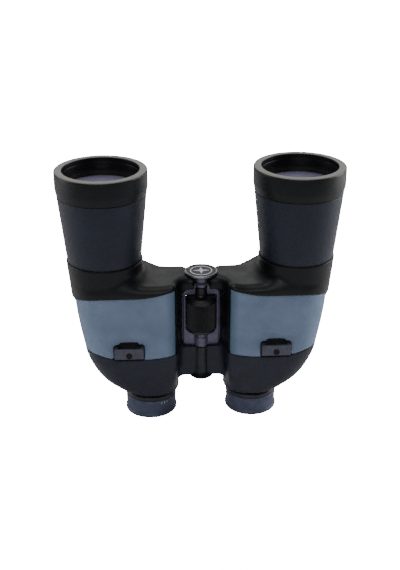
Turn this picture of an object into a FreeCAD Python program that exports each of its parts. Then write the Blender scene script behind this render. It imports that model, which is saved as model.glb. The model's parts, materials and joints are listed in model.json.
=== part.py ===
"""Porro-prism binoculars, 50 mm objectives, standing on the eyecups with the optical axes along +Z.

Millimetres. The focus wheel faces -Y, and z = 0 is the rim of the eyecups. Every half is drawn as the
+X half, round a hinge on the Z axis, and mirrored for the -X one. All of it is then moved by HINGE_Y,
so that the origin is under the middle of the whole.
"""

import FreeCAD, Part
import math
import os

V = FreeCAD.Vector

# Optical layout: each prism shifts the beam by BEAM_SHIFT along a diagonal of the housing.
OBJECTIVE_X = 66.0
EYEPIECE_X = 36.3
OPTIC_Y = 4.0
BEAM_SHIFT = (OBJECTIVE_X - EYEPIECE_X) / math.sqrt(2)
MIDDLE_X = (OBJECTIVE_X + EYEPIECE_X) / 2
MIDDLE_Y = OPTIC_Y + (OBJECTIVE_X - EYEPIECE_X) / 2

# Heights of the main divisions of a half.
NOSE_Z = 18.5
REAR_SEAM_Z = 51.5
FRONT_SEAM_Z = 98.0
SHOULDER_Z = 105.5
COLLAR_TOP_Z = 118.8
BUMPER_LOW_Z = 168.0
CELL_TOP_Z = 174.0
RIM_Z = 182.0

# Housing form: six straight sides, given by the direction each one faces and its distance from the
# hinge axis, with a round corner between each side and the next.
SIDE_ANGLES = (-90.0, 0.0, 45.0, 90.0, 135.0, 191.0)
FORM_LEVELS = (
    # height, distances (front, outer, outer back, back, inner back, inner), corner radii
    (SHOULDER_Z, (20.8, 87.8, 74.3, 38.5, -4.0, -13.7), (21, 12, 12, 10, 4, 4)),
    (FRONT_SEAM_Z, (21.0, 87.6, 74.3, 38.5, -4.0, -13.7), (21, 12, 12, 10, 4, 4)),
    (REAR_SEAM_Z, (19.8, 81.2, 69.6, 36.5, -4.0, -14.0), (21, 12, 12, 10, 4, 4)),
    (40.0, (18.8, 77.0, 64.0, 34.0, -4.0, -15.0), (21, 14, 14, 11, 6, 6)),
    (30.0, (17.3, 70.5, 57.0, 30.0, -4.0, -16.6), (20, 16, 16, 12, 10, 10)),
    (22.0, (15.8, 61.0, 49.5, 25.5, -4.0, -17.4), (19, 17, 17, 15, 15, 15)),
)
NOSE_R = 18.9
NOSE_CORNER_R = 18.0
SHARPEST_CORNER_R = 1.5
BOTTOM_LIFT = 0.8
LIFTED_BELOW_Z = 31.0

# Plan region of the inner walls that face the focus wheel and the other half.
VALLEY_OUTLINE = [(0, -30), (18.4, -30), (18.4, -15), (20, 6), (44, 31), (44, 50), (0, 50)]

# Walls.
ARMOUR_T = 1.8
HOUSING_T = 2.4
CAVITY_INSET = ARMOUR_T + HOUSING_T
CAVITY_LOW_Z = 31.0
COLLAR_TOP_R = 25.3
COLLAR_LOW_R = 23.2
SPIGOT_R = 20.0
SPIGOT_LOW_Z = 101.4
SPIGOT_SEAT_Z = 99.0
BARREL_LOW_R = 24.9
BARREL_TOP_R = 30.4
BARREL_BORE_LOW_R = 17.8
BARREL_BORE_TOP_R = 26.0

# Objective group.
BUMPER_R = 31.0
BUMPER_EDGE = 0.6
HOOD_BORE_R = 25.5
BARREL_STEP_R = 28.6
CELL_R = 27.0
CELL_LOW_Z = 160.0
LENS_R = 25.0
LENS_LIP = 1.5
LENS_SEAT_Z = 161.5
LENS_JOIN_EDGE_Z = 166.0
LENS_FRONT_EDGE_Z = 169.5
LENS_FRONT_CURVE_R = 110.0
LENS_JOIN_CURVE_R = 120.0
RETAINER_BORE_R = 24.0
RETAINER_LOW_Z = 169.9
RETAINER_TOP_Z = 172.6

# Prisms and their shelf.
SHELF_LOW_Z = 66.0
SHELF_T = 2.0
PRISM_HALF_LENGTH = 19.5
PRISM_WIDTH = 19.0
SHELF_HOLE_R = 9.0
CLIP_T = 0.8
CLIP_W = 5.0

# Eyepiece group, at mid focus.
TUBE_R = 15.5
TUBE_BORE_R = 13.7
TUBE_LOW_Z = 9.0
TUBE_TOP_Z = 43.0
GUIDE_CLEARANCE = 0.05
GUIDE_BORE_TOP_Z = 46.0
GUIDE_WALL = 1.6
NOSE_GAP_R = 15.9
RING_R = 18.2
RING_LOW_Z = 13.6
RING_TOP_Z = 16.2
EYECUP_LIP_R = 18.3
EYECUP_WAIST_R = 17.6
EYECUP_BORE_R = 14.2
EYECUP_TOP_Z = 13.2
EYECUP_LIP_LOW_EDGE = 0.5
EYECUP_LIP_EDGE_Z = 0.6
EYECUP_LIP_TOP_Z = 1.6
EYECUP_WAIST_Z = 6.5
EYECUP_SHOULDER_INSET = 0.2
EYECUP_NECK_INSET = 1.4
EYECUP_STEP_Z = 8.8
EYE_LENS_R = 11.5
EYE_LENS_LOW_Z = 10.4
EYE_LENS_EDGE_T = 2.2
EYE_LENS_BULGE = 1.6
EYE_LENS_LIP = 0.9
EYE_LENS_LIP_Z = 12.9
EYE_CELL_Z = (9.4, 17.0)
FIELD_LENS_R = 13.65
FIELD_LENS_LOW_Z = 32.0
FIELD_LENS_EDGE_T = 2.0
FIELD_LENS_BULGE = 1.8
FIELD_STOP_Z = (30.0, 31.5)
FIELD_STOP_BORE_R = 12.0
DIOPTER_CLEARANCE = 0.04

# Hinge and centre focus.
BOSS_R = 8.5
BOSS_LOW_Z = 100.0
BOSS_TOP_Z = 107.6
BOSS_NOTCH_X = 4.95
FOLD_GAP = 0.3
LUG_LOW_Z = 101.4
LUG_FRONT_Y = -8.0
LUG_BACK_Y = 8.0
ARM_ROOT_X = 22.0
BOSS_OVERLAP = 3.0
BUSH_R = 4.0
BUSH_TOP_Z = 107.0
BUSH_PIN_R = 2.4
BUSH_PIN_LOW_Z = 96.9
BUSH_CENTRE_R = 1.25
BUSH_CENTRE_TOP_Z = 98.8
BOSS_WEB = 0.5
SOCKET_R = 3.175
SOCKET_LOW_Z = 100.2
CAP_R = 11.6
CAP_RIM_W = 1.2
CAP_DISC_Z = (107.7, 108.1)
CAP_BEVEL = 0.7
CAP_BEVEL_DROP = 0.6
CAP_FACE_R = 10.0
CAP_FACE_SLOPE = 0.3
CAP_LOW_Z = 107.8
CAP_TOP_Z = 109.2
CAP_STEM_R = 4.6
CAP_STEM_LOW_Z = 101.6
CAP_STEM_CLEARANCE = 0.15
STEM_NOTCH_DROP = 0.1
WHEEL_R = 10.7
WHEEL_CORE_R = 9.4
WHEEL_BAND_INSET = 0.3
WHEEL_EDGE = 0.5
WHEEL_TOP_INSET = 0.2
WHEEL_TOP_EDGE = 1.6
WHEEL_HUB_R = 4.0
WHEEL_HUB_DROP = 1.4
WHEEL_NECK_R = 3.9
WHEEL_NECK_TOP_Z = 96.6
WHEEL_CENTRE_R = 1.2
WHEEL_CENTRE_TOP_Z = 98.6
WHEEL_LOW_Z = 64.0
WHEEL_TOP_Z = 90.4
GRIP_LOW_Z = 66.0
GRIP_TOP_Z = 86.2
GRIP_TEETH = 54
GRIP_TOOTH_DEPTH = 0.55
GRIP_TOOTH_PROFILE = ((0.0, 0.0), (0.5, 0.0), (0.62, GRIP_TOOTH_DEPTH), (0.88, GRIP_TOOTH_DEPTH))
BRACKET_LOW_Z = 51.6
BRACKET_TOP_Z = 97.4
BRACKET_INNER_X = 5.2
BRACKET_PLATE_X = 12.5
BRACKET_OUTER_X = 15.6
BRACKET_FRONT_Y = -0.5
BRACKET_FOOT_Y = 1.0
BRACKET_BACK_Y = 4.5
BRACKET_FOOT_INSET = 2.0
WHEEL_RELIEF = 0.4
WHEEL_RELIEF_Z = (62.4, 91.5)
EYE_WEB_X = (2.0, 5.7)
EYE_WEB_Y = (0.0, 3.6)
FRONT_TAB_X = (5.2, 9.5)
FRONT_TAB_Y = (0.5, 4.5)
FRONT_TAB_LOW_Z = 94.0
FRONT_WEB_X = (1.5, 6.0)
FRONT_WEB_Y = (0.5, 3.4)
FRONT_EYE_R = 3.75
FRONT_EYE_Z = (97.0, 99.7)
REAR_EYE_R = 4.4
RIGHT_REAR_EYE_Z = (54.2, 58.5)
LEFT_REAR_EYE_Z = (58.9, 62.2)
PIVOT_R = 3.1
PIVOT_BORE_R = 2.25
PIVOT_Z = (51.2, 62.4)
SPINDLE_R = 2.5
SPINDLE_NECK_R = 2.2
SPINDLE_TIP_R = 1.5
SPINDLE_LOW_Z = 27.0
SPINDLE_THREAD_Z = (29.3, 50.8)
SPINDLE_TOP_Z = 74.0
COVER_R = 4.9
COVER_BORE_R = 4.4
COVER_Z = (29.0, 51.0)
COVER_SWING_R = 9.0
COVER_SWING_ANGLES = (-20, 5, 30, 55, 82)
END_CAP_R = 8.3
END_CAP_LOW_Z = 25.8
END_CAP_BEVEL = (2.2, 1.6)
END_CAP_RIM_Z = 28.6
END_CAP_BORE_R = 1.55
END_CAP_BORE_LOW_Z = 26.8
NUT_R = 3.4
NUT_FLANGE_R = 4.25
NUT_Z = (35.0, 43.0)
NUT_FLANGE_T = 0.9
YOKE_Z = (36.0, 42.0)
YOKE_HALF_T = 0.9
YOKE_RING_GAP = 0.1
YOKE_NECK_X = (3.7, 4.65)
YOKE_PLATE_X = (4.35, 26.0)
REAR_ARM_Z = (29.0, 51.4)
REAR_ARM_HALF_Y = 3.4
SLOT_Z = (29.8, 44.6)
SLOT_HALF_Y = 1.3
SLOT_OUTER_X = 28.3
RUNNING_GAP = 0.05

# Strap lug.
LUG_X = (40.8, 60.8)
LUG_LEG_W = 2.3
LUG_BAR_Z = (53.4, 61.2)
LUG_BAR_Y = (-23.6, -21.4)
POCKET_Z = (52.2, 67.5)
POCKET_FLOOR_Y = -16.6
POCKET_WALL = 2.4
RIVET_R = 2.1
RIVET_Y = (-24.1, -22.4)
RIVET_DROP = 1.0

# Reach of a cutting tool: past everything, and just past a face.
FAR = 200.0
PAST = 1.0

# Place of the hinge axis in the finished model.
HINGE_Y = -5.75


def cylinder(radius, z_low, z_high, x=0.0, y=0.0):
    return Part.makeCylinder(radius, z_high - z_low, V(x, y, z_low))


def tube(outer, inner, z_low, z_high, x=0.0, y=0.0):
    return cylinder(outer, z_low, z_high, x, y).cut(cylinder(inner, z_low, z_high, x, y))


def box(x_range, y_range, z_range):
    low = V(x_range[0], y_range[0], z_range[0])
    high = V(x_range[1], y_range[1], z_range[1])
    size = high - low
    return Part.makeBox(size.x, size.y, size.z, low)


def polygon_prism(points, z_low, z_high):
    """Upright prism over a plan outline of (x, y) points."""
    wire = Part.makePolygon([V(x, y, z_low) for x, y in points + [points[0]]])
    return Part.Face(wire).extrude(V(0, 0, z_high - z_low))


def turned(profile, x=0.0, y=0.0):
    """Solid of revolution about the upright axis at (x, y), from (radius, height) points."""
    wire = Part.makePolygon([V(x + r, y, z) for r, z in profile + [profile[0]]])
    return Part.Face(wire).revolve(V(x, y, 0), V(0, 0, 1), 360)


def joined(*shapes):
    result = shapes[0]
    for shape in shapes[1:]:
        result = result.fuse(shape)
    return result.removeSplitter()


def cut_by(shape, *tools):
    for tool in tools:
        shape = shape.cut(tool)
    return shape


def unit(angle):
    return V(math.cos(math.radians(angle)), math.sin(math.radians(angle)), 0)


def crossing(angle_a, distance_a, angle_b, distance_b):
    """Point where two sides meet."""
    a = unit(angle_a)
    b = unit(angle_b)
    det = a.x * b.y - a.y * b.x
    return V((distance_a * b.y - distance_b * a.y) / det, (distance_b * a.x - distance_a * b.x) / det, 0)


def nose_level():
    """The lowest level of the form: sides that touch the round nose about the eyepiece axis."""
    centre = V(EYEPIECE_X, OPTIC_Y, 0)
    distances = tuple(unit(angle).dot(centre) + NOSE_R for angle in SIDE_ANGLES)
    return (NOSE_Z, distances, (NOSE_CORNER_R,) * len(SIDE_ANGLES))


def inset_level(level, inset):
    """One level moved inwards by inset, and upwards too where the form closes in towards the nose."""
    height, distances, radii = level
    if height < LIFTED_BELOW_Z:
        height += BOTTOM_LIFT * inset
    closer = [distance - inset for distance in distances]
    sharper = [max(radius - inset, SHARPEST_CORNER_R) for radius in radii]
    return height, closer, sharper


def level_between(lower, upper, height):
    """Level at a height between two others."""
    share = (height - lower[0]) / (upper[0] - lower[0])
    distances = [a + share * (b - a) for a, b in zip(lower[1], upper[1])]
    radii = [a + share * (b - a) for a, b in zip(lower[2], upper[2])]
    return height, distances, radii


def level_wire(level):
    """Outline of one level, as sides joined by arcs."""
    height, distances, radii = level
    count = len(SIDE_ANGLES)
    arcs = []
    for i in range(count):
        j = (i + 1) % count
        centre = crossing(
            SIDE_ANGLES[i], distances[i] - radii[i], SIDE_ANGLES[j], distances[j] - radii[i]
        )
        centre.z = height
        start = unit(SIDE_ANGLES[i])
        end = unit(SIDE_ANGLES[j])
        middle = (start + end).normalize()
        arcs.append([centre + direction * radii[i] for direction in (start, middle, end)])
    edges = []
    for i in range(count):
        edges.append(Part.Arc(*arcs[i]).toShape())
        edges.append(Part.LineSegment(arcs[i][2], arcs[(i + 1) % count][0]).toShape())
    return Part.Wire(edges)


def housing_form(inset, z_low=NOSE_Z, z_high=SHOULDER_Z):
    """The housing's form moved inwards by inset, between two heights."""
    levels = [inset_level(level, inset) for level in (nose_level(),) + FORM_LEVELS[::-1]]
    z_low = max(z_low, levels[0][0])
    stack = []
    for lower, upper in zip(levels, levels[1:]):
        if lower[0] <= z_low < upper[0]:
            stack.append(level_between(lower, upper, z_low))
        if z_low < upper[0] < z_high:
            stack.append(upper)
        if lower[0] < z_high <= upper[0]:
            stack.append(level_between(lower, upper, z_high))
    return Part.makeLoft([level_wire(level) for level in stack], True, True)


def armour_shell(z_low, z_high):
    outside = housing_form(0.0, z_low, z_high)
    return outside.cut(housing_form(ARMOUR_T, z_low, min(z_high, SHOULDER_Z - ARMOUR_T)))


def valley_region():
    return polygon_prism(VALLEY_OUTLINE, REAR_SEAM_Z, FRONT_SEAM_Z)


def strap_pocket():
    x_range = (LUG_X[0] + LUG_LEG_W, LUG_X[1] - LUG_LEG_W)
    return box(x_range, (-FAR, POCKET_FLOOR_Y), POCKET_Z)


def pocket_backing():
    """Block that closes the strap pocket off from the prisms."""
    y_range = (POCKET_FLOOR_Y - POCKET_WALL, POCKET_FLOOR_Y + POCKET_WALL)
    return box(LUG_X, y_range, (POCKET_Z[0] - POCKET_WALL, POCKET_Z[1] + POCKET_WALL))


def hinge_clearance(side, z_low, z_high):
    """What is taken from a half's lug: its seat on the boss, or a gap round it on the turning half."""
    radius = BOSS_R if side < 0 else BOSS_R + FOLD_GAP
    return cylinder(radius, z_low, z_high)


def lug_block(inset):
    x_range = (BOSS_R - BOSS_OVERLAP, ARM_ROOT_X)
    y_range = (LUG_FRONT_Y + inset, LUG_BACK_Y - inset)
    return box(x_range, y_range, (LUG_LOW_Z, SHOULDER_Z - inset))


def collar_cone(inset):
    """Cone that carries the barrel, moved inwards by inset."""
    low = COLLAR_LOW_R - inset
    top = COLLAR_TOP_R - inset
    profile = [(0, FRONT_SEAM_Z), (low, FRONT_SEAM_Z), (top, COLLAR_TOP_Z), (0, COLLAR_TOP_Z)]
    cone = turned(profile, OBJECTIVE_X, OPTIC_Y)
    return cone.cut(cylinder(SPIGOT_R, 0, SPIGOT_SEAT_Z, OBJECTIVE_X, OPTIC_Y)) if inset else cone


def prism_housing(side):
    outside = housing_form(ARMOUR_T, NOSE_Z, SHOULDER_Z - ARMOUR_T)
    cavity = housing_form(CAVITY_INSET, CAVITY_LOW_Z, SHOULDER_Z - CAVITY_INSET)
    guide = cylinder(TUBE_R + GUIDE_WALL, CAVITY_LOW_Z, TUBE_TOP_Z, EYEPIECE_X, OPTIC_Y)
    pocket_wall = pocket_backing().common(outside)
    rear_arm = box((0, ARM_ROOT_X), (-REAR_ARM_HALF_Y, REAR_ARM_HALF_Y), REAR_ARM_Z).cut(cavity)
    cover_gap = 0.0 if side < 0 else FOLD_GAP
    lug = lug_block(ARMOUR_T).cut(cavity)
    shell = outside.cut(cavity)
    body = joined(shell, guide.common(outside), pocket_wall, rear_arm, lug, collar_cone(ARMOUR_T))
    return cut_by(
        body,
        cylinder(TUBE_R + GUIDE_CLEARANCE, 0, GUIDE_BORE_TOP_Z, EYEPIECE_X, OPTIC_Y),
        cylinder(SPIGOT_R, SPIGOT_SEAT_Z, FAR, OBJECTIVE_X, OPTIC_Y),
        cylinder(COVER_R + cover_gap, 0, REAR_SEAM_Z + PAST),
        hinge_clearance(side, BOSS_LOW_Z - PAST, FAR),
        box((0, SLOT_OUTER_X), (-SLOT_HALF_Y, SLOT_HALF_Y), SLOT_Z),
        strap_pocket(),
        strap_lug(),
        hinge_bracket(side),
    )


def front_armour(side):
    collar = collar_cone(0.0).cut(collar_cone(ARMOUR_T))
    collar = collar.cut(housing_form(ARMOUR_T, NOSE_Z, SHOULDER_Z - ARMOUR_T))
    valley = armour_shell(REAR_SEAM_Z, FRONT_SEAM_Z).common(valley_region())
    lug = lug_block(0.0).cut(lug_block(ARMOUR_T))
    lug = lug.cut(housing_form(ARMOUR_T, NOSE_Z, SHOULDER_Z - ARMOUR_T))
    skin = joined(armour_shell(FRONT_SEAM_Z, SHOULDER_Z), collar, valley, lug)
    return cut_by(
        skin,
        collar_cone(ARMOUR_T),
        lug_block(ARMOUR_T),
        cylinder(SPIGOT_R, SPIGOT_SEAT_Z, FAR, OBJECTIVE_X, OPTIC_Y),
        hinge_clearance(side, BOSS_LOW_Z - PAST, FAR),
        hinge_bracket(side),
    )


def side_panel():
    shell = armour_shell(REAR_SEAM_Z, FRONT_SEAM_Z).cut(valley_region())
    return cut_by(shell, strap_pocket(), strap_lug())


def rear_armour():
    shell = armour_shell(NOSE_Z, REAR_SEAM_Z)
    arm = box((0, ARM_ROOT_X), (-REAR_ARM_HALF_Y, REAR_ARM_HALF_Y), (0, REAR_SEAM_Z))
    nose_bore = cylinder(NOSE_GAP_R, 0, CAVITY_LOW_Z, EYEPIECE_X, OPTIC_Y)
    return cut_by(shell, arm, nose_bore, strap_pocket(), strap_lug())


def objective_barrel():
    profile = [
        (SPIGOT_R, SPIGOT_LOW_Z),
        (SPIGOT_R, COLLAR_TOP_Z),
        (BARREL_LOW_R, COLLAR_TOP_Z),
        (BARREL_TOP_R, BUMPER_LOW_Z),
        (BARREL_STEP_R, BUMPER_LOW_Z),
        (BARREL_STEP_R, CELL_TOP_Z),
        (CELL_R, CELL_TOP_Z),
        (CELL_R, CELL_LOW_Z),
        (BARREL_BORE_TOP_R, CELL_LOW_Z),
        (BARREL_BORE_LOW_R, SPIGOT_LOW_Z),
    ]
    return turned(profile, OBJECTIVE_X, OPTIC_Y)


def rim_bumper():
    profile = [
        (BARREL_STEP_R, BUMPER_LOW_Z),
        (BUMPER_R - BUMPER_EDGE, BUMPER_LOW_Z),
        (BUMPER_R, BUMPER_LOW_Z + BUMPER_EDGE),
        (BUMPER_R, RIM_Z - 2 * BUMPER_EDGE),
        (BUMPER_R - 2 * BUMPER_EDGE, RIM_Z),
        (HOOD_BORE_R, RIM_Z),
        (HOOD_BORE_R, CELL_TOP_Z),
        (BARREL_STEP_R, CELL_TOP_Z),
    ]
    return turned(profile, OBJECTIVE_X, OPTIC_Y)


def objective_cell():
    profile = [
        (CELL_R, CELL_LOW_Z),
        (CELL_R, CELL_TOP_Z),
        (LENS_R, CELL_TOP_Z),
        (LENS_R, LENS_SEAT_Z),
        (LENS_R - LENS_LIP, LENS_SEAT_Z),
        (LENS_R - LENS_LIP, CELL_LOW_Z),
    ]
    return turned(profile, OBJECTIVE_X, OPTIC_Y)


def sphere_cap_centre(edge_z, curve_radius, edge_radius, direction):
    """Height of the centre of a sphere that bulges towards direction and passes through the lens edge."""
    return edge_z - direction * math.sqrt(curve_radius**2 - edge_radius**2)


def objective_join_sphere():
    centre_z = sphere_cap_centre(LENS_JOIN_EDGE_Z, LENS_JOIN_CURVE_R, LENS_R, -1)
    return Part.makeSphere(LENS_JOIN_CURVE_R, V(OBJECTIVE_X, OPTIC_Y, centre_z))


def crown_lens():
    centre_z = sphere_cap_centre(LENS_FRONT_EDGE_Z, LENS_FRONT_CURVE_R, LENS_R, 1)
    front = Part.makeSphere(LENS_FRONT_CURVE_R, V(OBJECTIVE_X, OPTIC_Y, centre_z))
    blank = cylinder(LENS_R, CELL_LOW_Z, RIM_Z, OBJECTIVE_X, OPTIC_Y)
    return blank.common(front).common(objective_join_sphere())


def flint_lens():
    blank = cylinder(LENS_R, LENS_SEAT_Z, LENS_JOIN_EDGE_Z, OBJECTIVE_X, OPTIC_Y)
    return blank.cut(objective_join_sphere())


def objective_retainer():
    return tube(LENS_R, RETAINER_BORE_R, RETAINER_LOW_Z, RETAINER_TOP_Z, OBJECTIVE_X, OPTIC_Y)


def prism_shelf():
    plate = housing_form(CAVITY_INSET, SHELF_LOW_Z, SHELF_LOW_Z + SHELF_T)
    holes = ((OBJECTIVE_X, OPTIC_Y), (MIDDLE_X, MIDDLE_Y), (EYEPIECE_X, OPTIC_Y))
    bores = [cylinder(SHELF_HOLE_R, 0, FAR, x, y) for x, y in holes]
    return cut_by(plate, pocket_backing(), *bores)


def prism_frame(x, y, angle, face_z, direction):
    """Placement whose X runs along the prism's long face and whose Z points to its roof edge."""
    turn = FreeCAD.Rotation(V(0, 0, 1), angle)
    if direction < 0:
        turn = turn.multiply(FreeCAD.Rotation(V(1, 0, 0), 180))
    return FreeCAD.Placement(V(x, y, face_z), turn)


def right_angle_prism(placement):
    half = PRISM_HALF_LENGTH
    wire = Part.makePolygon([V(-half, 0, 0), V(half, 0, 0), V(0, 0, half), V(-half, 0, 0)])
    solid = Part.Face(wire).extrude(V(0, PRISM_WIDTH, 0))
    solid.translate(V(0, -PRISM_WIDTH / 2, 0))
    return solid.transformGeometry(placement.toMatrix())


def prism_strap(placement):
    outer = PRISM_WIDTH / 2 + CLIP_T
    top = PRISM_HALF_LENGTH + CLIP_T
    strap = box((-CLIP_W / 2, CLIP_W / 2), (-outer, outer), (0, top))
    inside = box((-CLIP_W, CLIP_W), (-PRISM_WIDTH / 2, PRISM_WIDTH / 2), (-PAST, PRISM_HALF_LENGTH))
    return strap.cut(inside).transformGeometry(placement.toMatrix())


def objective_prism_frame():
    x = (OBJECTIVE_X + MIDDLE_X) / 2
    y = (OPTIC_Y + MIDDLE_Y) / 2
    return prism_frame(x, y, -45, SHELF_LOW_Z, -1)


def ocular_prism_frame():
    x = (EYEPIECE_X + MIDDLE_X) / 2
    y = (OPTIC_Y + MIDDLE_Y) / 2
    return prism_frame(x, y, 45, SHELF_LOW_Z + SHELF_T, 1)


def prism_clips():
    return Part.makeCompound([prism_strap(objective_prism_frame()), prism_strap(ocular_prism_frame())])


def strap_lug():
    legs = [
        box((x, x + LUG_LEG_W), (LUG_BAR_Y[0], POCKET_FLOOR_Y), LUG_BAR_Z)
        for x in (LUG_X[0], LUG_X[1] - LUG_LEG_W)
    ]
    return joined(box(LUG_X, LUG_BAR_Y, LUG_BAR_Z), *legs).cut(lug_rivet())


def lug_rivet():
    centre = V(sum(LUG_X) / 2, RIVET_Y[0], sum(LUG_BAR_Z) / 2 - RIVET_DROP)
    return Part.makeCylinder(RIVET_R, RIVET_Y[1] - RIVET_Y[0], centre, V(0, 1, 0))


def eyepiece_tube():
    body = tube(TUBE_R, TUBE_BORE_R, TUBE_LOW_Z, TUBE_TOP_Z, EYEPIECE_X, OPTIC_Y)
    field_stop = tube(TUBE_BORE_R, FIELD_STOP_BORE_R, *FIELD_STOP_Z, EYEPIECE_X, OPTIC_Y)
    return joined(body, field_stop)


def biconvex(radius, z_low, edge_t, bulge):
    """Eyepiece lens with a plain edge and two equal bulging faces."""
    curve = (radius**2 + bulge**2) / (2 * bulge)
    z_high = z_low + edge_t
    lower = Part.makeSphere(curve, V(EYEPIECE_X, OPTIC_Y, z_low - bulge + curve))
    upper = Part.makeSphere(curve, V(EYEPIECE_X, OPTIC_Y, z_high + bulge - curve))
    blank = cylinder(radius, z_low - 2 * bulge, z_high + 2 * bulge, EYEPIECE_X, OPTIC_Y)
    return blank.common(lower).common(upper)


def field_lens():
    return biconvex(FIELD_LENS_R, FIELD_LENS_LOW_Z, FIELD_LENS_EDGE_T, FIELD_LENS_BULGE)


def eye_lens():
    return biconvex(EYE_LENS_R, EYE_LENS_LOW_Z, EYE_LENS_EDGE_T, EYE_LENS_BULGE)


def eye_lens_cell():
    outer = TUBE_BORE_R - DIOPTER_CLEARANCE
    profile = [
        (outer, EYE_CELL_Z[0]),
        (outer, EYE_CELL_Z[1]),
        (EYE_LENS_R - EYE_LENS_LIP, EYE_CELL_Z[1]),
        (EYE_LENS_R - EYE_LENS_LIP, EYE_LENS_LIP_Z),
        (EYE_LENS_R, EYE_LENS_LIP_Z),
        (EYE_LENS_R, EYE_CELL_Z[0]),
    ]
    return turned(profile, EYEPIECE_X, OPTIC_Y)


def eyepiece_seat_radius(side):
    """The ring and eyecup grip the tube on the fixed side and turn on it on the diopter side."""
    return TUBE_R + (DIOPTER_CLEARANCE if side < 0 else 0.0)


def eyepiece_ring(side):
    bore = eyepiece_seat_radius(side)
    return tube(RING_R, bore, RING_LOW_Z, RING_TOP_Z, EYEPIECE_X, OPTIC_Y)


def eyecup(side):
    bore = eyepiece_seat_radius(side)
    profile = [
        (EYECUP_BORE_R, 0.0),
        (EYECUP_LIP_R - EYECUP_LIP_LOW_EDGE, 0.0),
        (EYECUP_LIP_R, EYECUP_LIP_EDGE_Z),
        (EYECUP_LIP_R, EYECUP_LIP_TOP_Z),
        (EYECUP_WAIST_R, EYECUP_WAIST_Z),
        (RING_R - EYECUP_SHOULDER_INSET, EYECUP_TOP_Z),
        (bore, EYECUP_TOP_Z),
        (bore, EYECUP_STEP_Z),
        (EYECUP_BORE_R, EYECUP_STEP_Z),
    ]
    neck = tube(RING_R - EYECUP_NECK_INSET, bore, EYECUP_TOP_Z, RING_LOW_Z, EYEPIECE_X, OPTIC_Y)
    return joined(turned(profile, EYEPIECE_X, OPTIC_Y), neck)


def yoke_arm(side):
    """Plate from the focus nut's groove to the eyepiece tube, with its own half of the groove."""
    middle = sum(YOKE_Z) / 2
    upper = (middle + YOKE_RING_GAP, YOKE_Z[1] - RUNNING_GAP)
    lower = (YOKE_Z[0] + RUNNING_GAP, middle - YOKE_RING_GAP)
    ring_z = upper if side < 0 else lower
    ring = tube(NUT_FLANGE_R, NUT_R + RUNNING_GAP, *ring_z)
    neck = box(YOKE_NECK_X, (-YOKE_HALF_T, YOKE_HALF_T), ring_z)
    plate = box(YOKE_PLATE_X, (-YOKE_HALF_T, YOKE_HALF_T), YOKE_Z)
    plate = plate.cut(cylinder(TUBE_R, 0, FAR, EYEPIECE_X, OPTIC_Y))
    return joined(ring, neck, plate)


def bracket_plate():
    """Plate behind the wheel, relieved round it, with the foot that is let into the housing."""
    plate_x = (BRACKET_INNER_X, BRACKET_PLATE_X)
    plate = box(plate_x, (BRACKET_FRONT_Y, BRACKET_BACK_Y), (BRACKET_LOW_Z, BRACKET_TOP_Z))
    foot_z = (BRACKET_LOW_Z + BRACKET_FOOT_INSET, BRACKET_TOP_Z - BRACKET_FOOT_INSET)
    foot = box((BRACKET_PLATE_X, BRACKET_OUTER_X), (BRACKET_FOOT_Y, BRACKET_BACK_Y), foot_z)
    return joined(plate, foot).cut(cylinder(WHEEL_R + WHEEL_RELIEF, *WHEEL_RELIEF_Z))


def rear_eye(z_range):
    return joined(cylinder(REAR_EYE_R, *z_range), box(EYE_WEB_X, EYE_WEB_Y, z_range))


def front_eye():
    tab = box(FRONT_TAB_X, FRONT_TAB_Y, (FRONT_TAB_LOW_Z, FRONT_EYE_Z[1]))
    web = box(FRONT_WEB_X, FRONT_WEB_Y, FRONT_EYE_Z)
    return joined(cylinder(FRONT_EYE_R, *FRONT_EYE_Z), web, tab)


def hinge_bracket(side):
    """Grey casting of one half: fixed to the pivot on the left, turning on it on the right."""
    if side < 0:
        return joined(bracket_plate(), rear_eye(LEFT_REAR_EYE_Z)).cut(cylinder(PIVOT_R, 0, FAR))
    return cut_by(
        joined(bracket_plate(), rear_eye(RIGHT_REAR_EYE_Z), front_eye()),
        cylinder(BUSH_PIN_R + RUNNING_GAP, FRONT_EYE_Z[0] - PAST, FRONT_EYE_Z[1] + PAST),
        cylinder(PIVOT_R + RUNNING_GAP, RIGHT_REAR_EYE_Z[0] - PAST, RIGHT_REAR_EYE_Z[1] + PAST),
    )


def hinge_boss():
    """Fixed knuckle at the front of the hinge, open towards -Y round the bush and the cap's stem."""
    notch_low_z = CAP_STEM_LOW_Z - STEM_NOTCH_DROP
    notch_x = (-BOSS_NOTCH_X, BOSS_NOTCH_X)
    return cut_by(
        cylinder(BOSS_R, BOSS_LOW_Z, BOSS_TOP_Z),
        box(notch_x, (-FAR, 0), (notch_low_z, FAR)),
        box(notch_x, (-FAR, -BUSH_R - BOSS_WEB), (0, FAR)),
        cylinder(CAP_STEM_R + CAP_STEM_CLEARANCE, notch_low_z, FAR),
        cylinder(BUSH_R, 0, FAR),
    )


def tripod_bush():
    """Fixed pivot at the front of the hinge, tapped for a tripod screw."""
    barrel = cylinder(BUSH_R, BOSS_LOW_Z, BUSH_TOP_Z)
    pin = cylinder(BUSH_PIN_R, BUSH_PIN_LOW_Z, BOSS_LOW_Z)
    socket = cylinder(SOCKET_R, SOCKET_LOW_Z, FAR)
    wheel_centre = cylinder(BUSH_CENTRE_R, 0, BUSH_CENTRE_TOP_Z)
    return cut_by(joined(barrel, pin), socket, wheel_centre)


def tripod_cap():
    stem = tube(CAP_STEM_R, BUSH_R + RUNNING_GAP, CAP_STEM_LOW_Z, CAP_LOW_Z)
    return joined(stem, cylinder(CAP_R - CAP_RIM_W, *CAP_DISC_Z))


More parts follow.
